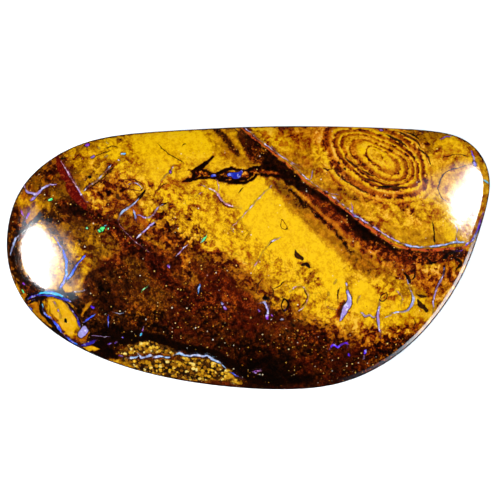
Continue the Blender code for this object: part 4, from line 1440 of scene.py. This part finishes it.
# %% Draw the rings
# Each step has its place on the way out and its tone, from black at 0 to bright gold at 1.
RINGS = (
    (0.0, 0.8), (0.03, 0.62), (0.06, 0.94), (0.12, 0.96), (0.15, 0.58), (0.18, 0.56), (0.21, 0.96),
    (0.26, 0.92), (0.29, 0.62), (0.333, 0.48), (0.362, 0.56), (0.385, 0.96), (0.405, 0.6),
    (0.43, 0.9), (0.46, 0.56), (0.49, 0.44), (0.52, 0.5), (0.545, 0.96), (0.57, 0.88), (0.6, 0.56),
    (0.635, 0.48), (0.67, 0.4), (0.7, 0.94), (0.735, 0.94), (0.765, 0.62), (0.8, 0.5),
    (0.84, 0.44), (0.875, 0.9), (0.905, 0.9), (0.93, 0.58),
    (0.955, 0.9), (1.0, 0.84),
)

ring_waver = cloud(0.8, 9.0, detail=4.0, roughness=0.7) * 0.12 + spot * 0.022 + fleck * 0.014
ring_steps = [(at, (grey, grey, grey, 1.0)) for at, grey in RINGS]
ring_tone = split(ramp(ring_place + ring_waver, ring_steps))
ring_plain = fade(cloud(0.9, 9.8, detail=2.0), 0.0, 0.14) * 0.3
ring_tone = ring_tone + ring_plain * (0.74 - ring_tone)
ring_rust = fade(ring_tone, 0.95, 0.45) * ring_share * 0.9
ring_tone = broken(ring_tone + drift * 0.15, 0.5)
ringed_tone = broken_tone + ring_share * (ring_tone - broken_tone)
ground_colour = mix(
    ramp(ringed_tone, GOLD_STOPS), ramp(ringed_tone, RUST_STOPS), rust_here + ring_rust * (1 - rust_here))
print(len(RINGS), "steps from the heart to the last ring")

# %% [markdown]
# ## Crazing, sand grains and glitter
#
# Fine brown outlines run round fragments of the ironstone where it is mottled. In the lens at the
# bottom the sandstone was never stained dark, and its grains show one by one, in yellow, amber and
# brown. In the dark ground single clear grains catch the light as sparks.

# %% Add crazing and sand grains
CRAZING_COLOUR = seen(84, 34, 6)
GRAIN_GAP_COLOUR = seen(28, 12, 3)
CRAZING_SIZE, GRAIN_SIZE = 0.85, 0.27
GRAIN_STOPS = steps(
    (0.0, (36, 14, 2)),
    (0.25, (96, 50, 4)),
    (0.5, (160, 98, 8)),
    (0.75, (214, 150, 20)),
    (0.92, (250, 194, 48)),
    (1.0, (255, 222, 124)),
)

crazed = fade(cells(CRAZING_SIZE, 3.0, "DISTANCE_TO_EDGE", at=shaken_place), 0.055, 0.01)
crazed = crazed * fade(cloud(1.0, 10.0), 0.0, 0.08) * fade(mottle + drift, 0.6, 0.9)
ground_colour = mix(ground_colour, CRAZING_COLOUR, crazed * 0.5 * (1 - ring_share))

grain_chance = split(cells(GRAIN_SIZE, 1.0, output=1))
grain_body = fade(cells(GRAIN_SIZE, 1.0), 0.75, 0.5)
grain_colour = mix(GRAIN_GAP_COLOUR, ramp(grain_chance + fleck * 0.2, GRAIN_STOPS), grain_body)
ground_colour = mix(ground_colour, grain_colour, sand)
print("sand grains of", GRAIN_SIZE, "mm are in")

# %% Strew sparks
DIM_SPARK_STOPS = steps(
    (0.0, (120, 62, 10)),
    (0.5, (176, 104, 16)),
    (1.0, (226, 164, 50)),
)
BRIGHT_SPARK_STOPS = steps(
    (0.0, (240, 176, 60)),
    (0.5, (252, 206, 104)),
    (1.0, (255, 246, 230)),
)


def sparks(size_mm, seed, share, radius, stops):
    """Lays painted glints of grains over the ground, in that share of the cells, each with its own size and
    warmth.
    """
    chance = cells(size_mm, seed, output=1)
    dot = fade(cells(size_mm, seed), radius * (0.5 + split(chance, 2)), radius * 0.2)
    lit = dot * fade(split(chance) + share + cloud(0.9, seed) * 0.6, 0.99, 1.01)
    return mix(ground_colour, ramp(split(chance, 1), stops), lit * (1 - back) * (1 - sand))


# The sparks are painted glints: grains catching the light, laid into the colour.
ground_colour = sparks(0.16, 5.0, glitter * 0.15, 0.4, DIM_SPARK_STOPS)
ground_colour = sparks(0.24, 6.0, glitter * 0.12 + 0.03, 0.27, BRIGHT_SPARK_STOPS)
print(len(look.nodes), "nodes so far")

# %% [markdown]
# ## Cracks and seams
#
# Each layer of lines is drawn in the same way: noise shifts its distance a little, so that edges are
# ragged, and swells or pinches its width. The cracks go on first. A seam of opal catches the light on
# one side and has a dark wall on the other, and along it the opal comes and goes.

# %% Draw the dark cracks
CRACK_STOPS = steps(
    (0.0, (7, 4, 3)),
    (0.35, (78, 36, 6)),
    (0.6, (140, 52, 10)),
    (0.7, (108, 12, 3)),
    (0.88, (84, 3, 3)),
    (1.0, (206, 82, 28)),
)


def line_shape(layer):
    """A layer's lines: place across them, distance from their ragged edges, colour number, and wideness.

    Lengths are in pixels: the noises move a line by up to one or two of them, and a line counts as wide
    when it has a half width of 0.9.
    """
    distance, half_width, colour = numbers(layer)
    across = distance + wander * 2.6 + fleck * 0.35 + spot * 0.2
    return across, abs(across) - half_width * (1 + swell * 1.6), colour, fade(half_width, 0.58, 0.9)


stone_colour = ground_colour
for number in range(len(crack_layers)):
    _, outside, colour, _ = line_shape(f"crack_{number}")
    iron = ramp(colour + fleck * 0.12 + spot * 0.12, CRACK_STOPS)
    stone_colour = mix(stone_colour, iron, fade(outside, 0.4, -0.4))
print("cracks drawn from", len(crack_layers), "layers")

# %% Draw the opal seams
# Opal throws back more light than stained stone does, so its colours are divided by less light than the
# ironstone's and come out brighter.
OPAL_LIGHT = 1.9
OPAL_STOPS = steps(
    (0.0, (84, 30, 222)),
    (0.05, (30, 18, 140)),
    (0.09, (12, 44, 160)),
    (0.14, (44, 88, 235)),
    (0.28, (40, 190, 225)),
    (0.42, (158, 178, 216)),
    (0.56, (158, 134, 200)),
    (0.7, (200, 128, 142)),
    (0.85, (140, 40, 200)),
    (1.0, (60, 240, 120)),
    light=OPAL_LIGHT,
)
DULL_OPAL = seen(104, 48, 38)
WALL_COLOUR = seen(46, 16, 8)
BRIGHT_OPAL = seen(250, 240, 250, OPAL_LIGHT)

play = cloud(0.5, 11.0, detail=1.0) * 0.25
alive = fade(cloud(0.26, 12.0, detail=2.0), -0.05, 0.06)
# The gleam is a painted highlight: near-white spots mixed into the opal's colour.
gleam = fade(cloud(0.14, 13.0, detail=1.0), 0.02, 0.14)
for number in range(len(seam_layers)):
    across, outside, colour, wide = line_shape(f"seam_{number}")
    core = fade(outside, 0.3, -0.35) * (alive * 0.65 + 0.35).at_least(wide)
    wall = fade(outside, 1.6, 0.5) * (0.3 + 0.6 * fade(across + swell * 4, -0.6, 0.6)) * (0.5 + 0.5 * wide)
    stone_colour = mix(stone_colour, WALL_COLOUR, wall)
    pale = fade(abs(colour - 0.5), 0.28, 0.18)
    opal = mix(ramp(colour + play, OPAL_STOPS), BRIGHT_OPAL, gleam * (pale * 0.3 + 0.3))
    shown = (0.15 + alive * 0.85).at_least(wide * 0.85)
    stone_colour = mix(stone_colour, mix(DULL_OPAL, opal, shown), core)
print("seams drawn from", len(seam_layers), "layers")

# %% [markdown]
# ## Polish
#
# Opal and ironstone take a glassy polish, so roughness is low everywhere but on the back, which is
# left from the saw. Tiny pits between the grains and an uneven skin come from a bump.

# %% Finish the surface
POLISHED, SAWN = 0.07, 0.62
SAND_ROUGHER = 0.08
STONE_IOR = 1.72
BUMP_DEPTH = 0.012 * MM

skin = cloud(0.9, 14.0, detail=3.0, roughness=0.55) * 0.9 + fleck * 0.06
bump = look.node("ShaderNodeBump", Strength=1.0, Distance=BUMP_DEPTH, Height=skin)
roughness = POLISHED + sand * SAND_ROUGHER + back * (SAWN - POLISHED)
look.finish(look.node(
    "ShaderNodeBsdfPrincipled", Base_Color=stone_colour, Roughness=roughness, IOR=STONE_IOR, Normal=bump))
mesh.materials.append(look.material)
print(len(look.nodes), "nodes in the material")

# %% [markdown]
# ## Light
#
# The picture has two softboxes, whose reflections are the white gleams at the left and the right end,
# and a pale card low on the lower right that draws the bright line along the shoulder. A softbox is a
# flat panel that shines. Its outline comes from the gleam itself: at each place along the gleam's edge
# the stone is a mirror, and the line of sight is followed from there up to the panel's level.

# %% Panels that shine
# The rim of a panel is faint, and its light bluish. From the strength WHITE_FROM on it is white.
PANEL_HEIGHT = 1.0
PANEL_STRENGTH = 30.0
EDGE_STRENGTH = 3.6
FAINT_LIGHT, FULL_LIGHT = (0.5, 0.74, 1.0, 1.0), (1.0, 1.0, 1.0, 1.0)
WHITE_FROM = 6.0

glow = Look("softbox_light")
strength = glow.node("ShaderNodeAttribute", {"attribute_name": "strength"}, output=2)
white_share = (strength / WHITE_FROM).at_most(1.0)
light_colour = glow.node(
    "ShaderNodeMix", {"data_type": "RGBA"}, output=2,
    Factor_Float=white_share, A_Color=FAINT_LIGHT, B_Color=FULL_LIGHT)
glow.finish(glow.node("ShaderNodeEmission", Color=light_colour, Strength=strength))


def panel(name, places, sheet_faces, strengths):
    """A sheet that lights the stone and may show in its polish, but not in the picture itself."""
    sheet = bpy.data.meshes.new(name)
    sheet.from_pydata(places, [], sheet_faces)
    sheet.materials.append(glow.material)
    sheet.attributes.new("strength", "FLOAT", "POINT").data.foreach_set("value", strengths)
    made = bpy.data.objects.new(name, sheet)
    made.visible_camera = False
    bpy.context.scene.collection.objects.link(made)
    return made


print(len(glow.nodes), "nodes in the panels' light")

# %% Follow the line of sight up to the panels
normals = np.array([corner.vector for corner in mesh.vertex_normals])
top_count = (GRID_LONG + 1) * (GRID_SHORT + 1)


def mirrored(column, row):
    """Where the line of sight to a pixel goes on to, at the panels' level."""
    nearest = ((pixels[:top_count] - (column, row)) ** 2).sum(axis=1).argmin()
    corner, normal = points[nearest], normals[nearest]
    sight = np.array(camera.location) - corner
    sight /= np.linalg.norm(sight)
    onward = 2 * (normal @ sight) * normal - sight
    return (corner + onward * (PANEL_HEIGHT - corner[2]) / onward[2])[:2]


def softbox(name, gleam):
    """A level panel whose mirror image is the gleam, with a faint rim outside and the full light inside."""
    edge = np.array([mirrored(*place) for place, _, _, _ in gleam])
    inward, outward, shares = np.array([rest for _, *rest in gleam]).T[:, :, None]
    middle = edge.mean(axis=0)
    flat = np.vstack([edge + outward * (edge - middle), edge, edge + inward * (middle - edge), middle])
    places = np.column_stack([flat, np.full(len(flat), PANEL_HEIGHT)])
    count = len(edge)
    sheet_faces = [
        (start + k, start + (k + 1) % count, start + count + (k + 1) % count, start + count + k)
        for start in (0, count) for k in range(count)]
    sheet_faces += [(2 * count + k, 2 * count + (k + 1) % count, 3 * count) for k in range(count)]
    strengths = [0.0] * count + [EDGE_STRENGTH] * count + (PANEL_STRENGTH * shares[:, 0]).tolist()
    panel(name, places.tolist(), sheet_faces, strengths + [PANEL_STRENGTH])
    print(name, "spans", np.round(np.ptp(edge, axis=0), 2), "m")


print("the gleams are looked for at", top_count, "corners of the dome")

# %% Hang the softboxes
# Each gleam is listed as a place on its edge, how far in the full light starts, how far out the faint
# rim reaches, and how strong the full light is there.
LEFT_GLEAM = (
    ((36, 222.5), 0.3, 0.8, 1), ((29, 227), 0.2, 0.8, 1), ((23.8, 236), 0.12, 0.5, 1),
    ((22.3, 248), 0.06, 0.1, 1), ((22.5, 261), 0.06, 0.1, 1), ((26, 271), 0.06, 0.1, 1),
    ((32, 279), 0.08, 0.1, 1), ((39, 285.5), 0.1, 0.12, 1), ((47, 290), 0.12, 0.15, 1),
    ((56, 290.5), 0.25, 0.25, 0.5), ((62.5, 285), 0.3, 0.3, 0.35), ((65.5, 277), 0.35, 0.3, 0.3),
    ((66, 267), 0.35, 0.35, 0.35), ((64.5, 257), 0.3, 0.5, 0.45), ((60.5, 248), 0.35, 0.45, 0.7),
    ((55, 240), 0.4, 0.45, 1), ((49, 232.5), 0.45, 0.4, 1), ((43, 226), 0.35, 0.3, 1))
RIGHT_GLEAM = (
    ((468, 163), 0.3, 0.2, 1), ((473, 167), 0.1, 0.08, 1), ((479, 176.5), 0.06, 0.05, 1),
    ((482, 188), 0.05, 0.05, 1), ((482.3, 205), 0.05, 0.04, 1), ((480.5, 216), 0.06, 0.05, 1),
    ((475, 227), 0.08, 0.06, 0.8), ((469, 234.5), 0.2, 0.1, 0.4), ((462, 230), 0.3, 0.2, 0.4),
    ((455, 223), 0.2, 0.15, 1), ((450, 213), 0.15, 0.15, 1), ((446.5, 204), 0.2, 0.2, 1),
    ((444.5, 195), 0.35, 0.3, 1), ((449, 187), 0.5, 0.4, 0.8), ((456, 180), 0.5, 0.5, 0.8),
    ((463, 171), 0.4, 0.4, 1))
softbox("left_softbox", LEFT_GLEAM)
softbox("right_softbox", RIGHT_GLEAM)

# %% Lay the pale card beside the stone
# It lies from close to the stone outwards and rises a little at its far end. Each strength has the
# direction in which the stone's outline faces there, in degrees. Each place of the section is a
# distance from the stone and a height.
CARD_STRENGTHS = (
    (-78, 0.0), (-68, 0.3), (-60, 0.8), (-52, 2.6), (-46, 6.0), (-38, 7.0), (-22, 6.5), (-16, 0.0))
CARD_SECTION = ((3 * MM, 0.2 * MM), (100 * MM, 0.2 * MM), (800 * MM, 45 * MM))

facing, power = np.array(CARD_STRENGTHS).T
card_places, card_power = [], []
for corner, inward in zip(outline_corners, inward_normals(outline_corners[:, :2])):
    turn = math.degrees(math.atan2(-inward[1], -inward[0]))
    if facing[0] <= turn <= facing[-1]:
        card_power += [float(np.interp(turn, facing, power))] * len(CARD_SECTION)
        card_places += [(*(corner[:2] - distance * inward), height) for distance, height in CARD_SECTION]
row_size = len(CARD_SECTION)
card_rows = len(card_places) // row_size
card_faces = [
    (first, first + 1, first + row_size + 1, first + row_size)
    for row in range(card_rows - 1)
    for first in range(row * row_size, (row + 1) * row_size - 1)]
pale_card = panel("pale_card", card_places, card_faces, card_power)
pale_card.visible_diffuse = False
pale_card.visible_shadow = False
print("the card has", card_rows, "rows")

# %% [markdown]
# ## Soft light from above
#
# Most of the light comes evenly from a wide white ceiling, which is why the picture has no shadow. It is
# kept out of the polish, where only the softboxes and the card show.

# %% Hang the ceiling
CEILING_HEIGHT, CEILING_RADIUS, CEILING_CORNERS = 1.25, 1.5, 24
CEILING_STRENGTH = 3.3
ceiling_places = [
    (CEILING_RADIUS * math.cos(turn), CEILING_RADIUS * math.sin(turn), CEILING_HEIGHT)
    for turn in np.arange(CEILING_CORNERS) * 2 * math.pi / CEILING_CORNERS]
ceiling = panel("ceiling", ceiling_places, [range(CEILING_CORNERS)], [CEILING_STRENGTH] * CEILING_CORNERS)
ceiling.visible_glossy = False
print("the ceiling hangs", CEILING_HEIGHT, "m above the floor")

# %% [markdown]
# ## Floor and surroundings
#
# The stone lies on white. The floor only has to be pale and plain, and the world around is nearly
# dark, so that the polish stays black and deep between the gleams.

# %% Lay the floor
FLOOR_RADIUS, FLOOR_CORNERS = 4.0, 96
PAPER_COLOUR, PAPER_ROUGHNESS = (0.8, 0.8, 0.8, 1.0), 0.9

bpy.ops.mesh.primitive_circle_add(vertices=FLOOR_CORNERS, radius=FLOOR_RADIUS, fill_type="NGON")
floor = bpy.context.object
floor.name = "floor"
paper = Look("white_paper")
paper.finish(paper.node("ShaderNodeBsdfPrincipled", Base_Color=PAPER_COLOUR, Roughness=PAPER_ROUGHNESS))
floor.data.materials.append(paper.material)
floor.visible_glossy = False
print("the floor reaches", FLOOR_RADIUS, "m each way")

# %% Dim the world
WORLD_STRENGTH = 0.01

world = bpy.data.worlds.new("dim_studio")
world.use_nodes = True
background = world.node_tree.nodes["Background"].inputs
background["Color"].default_value = (1.0, 1.0, 1.0, 1.0)
background["Strength"].default_value = WORLD_STRENGTH
bpy.context.scene.world = world
print("the world shines with", WORLD_STRENGTH)
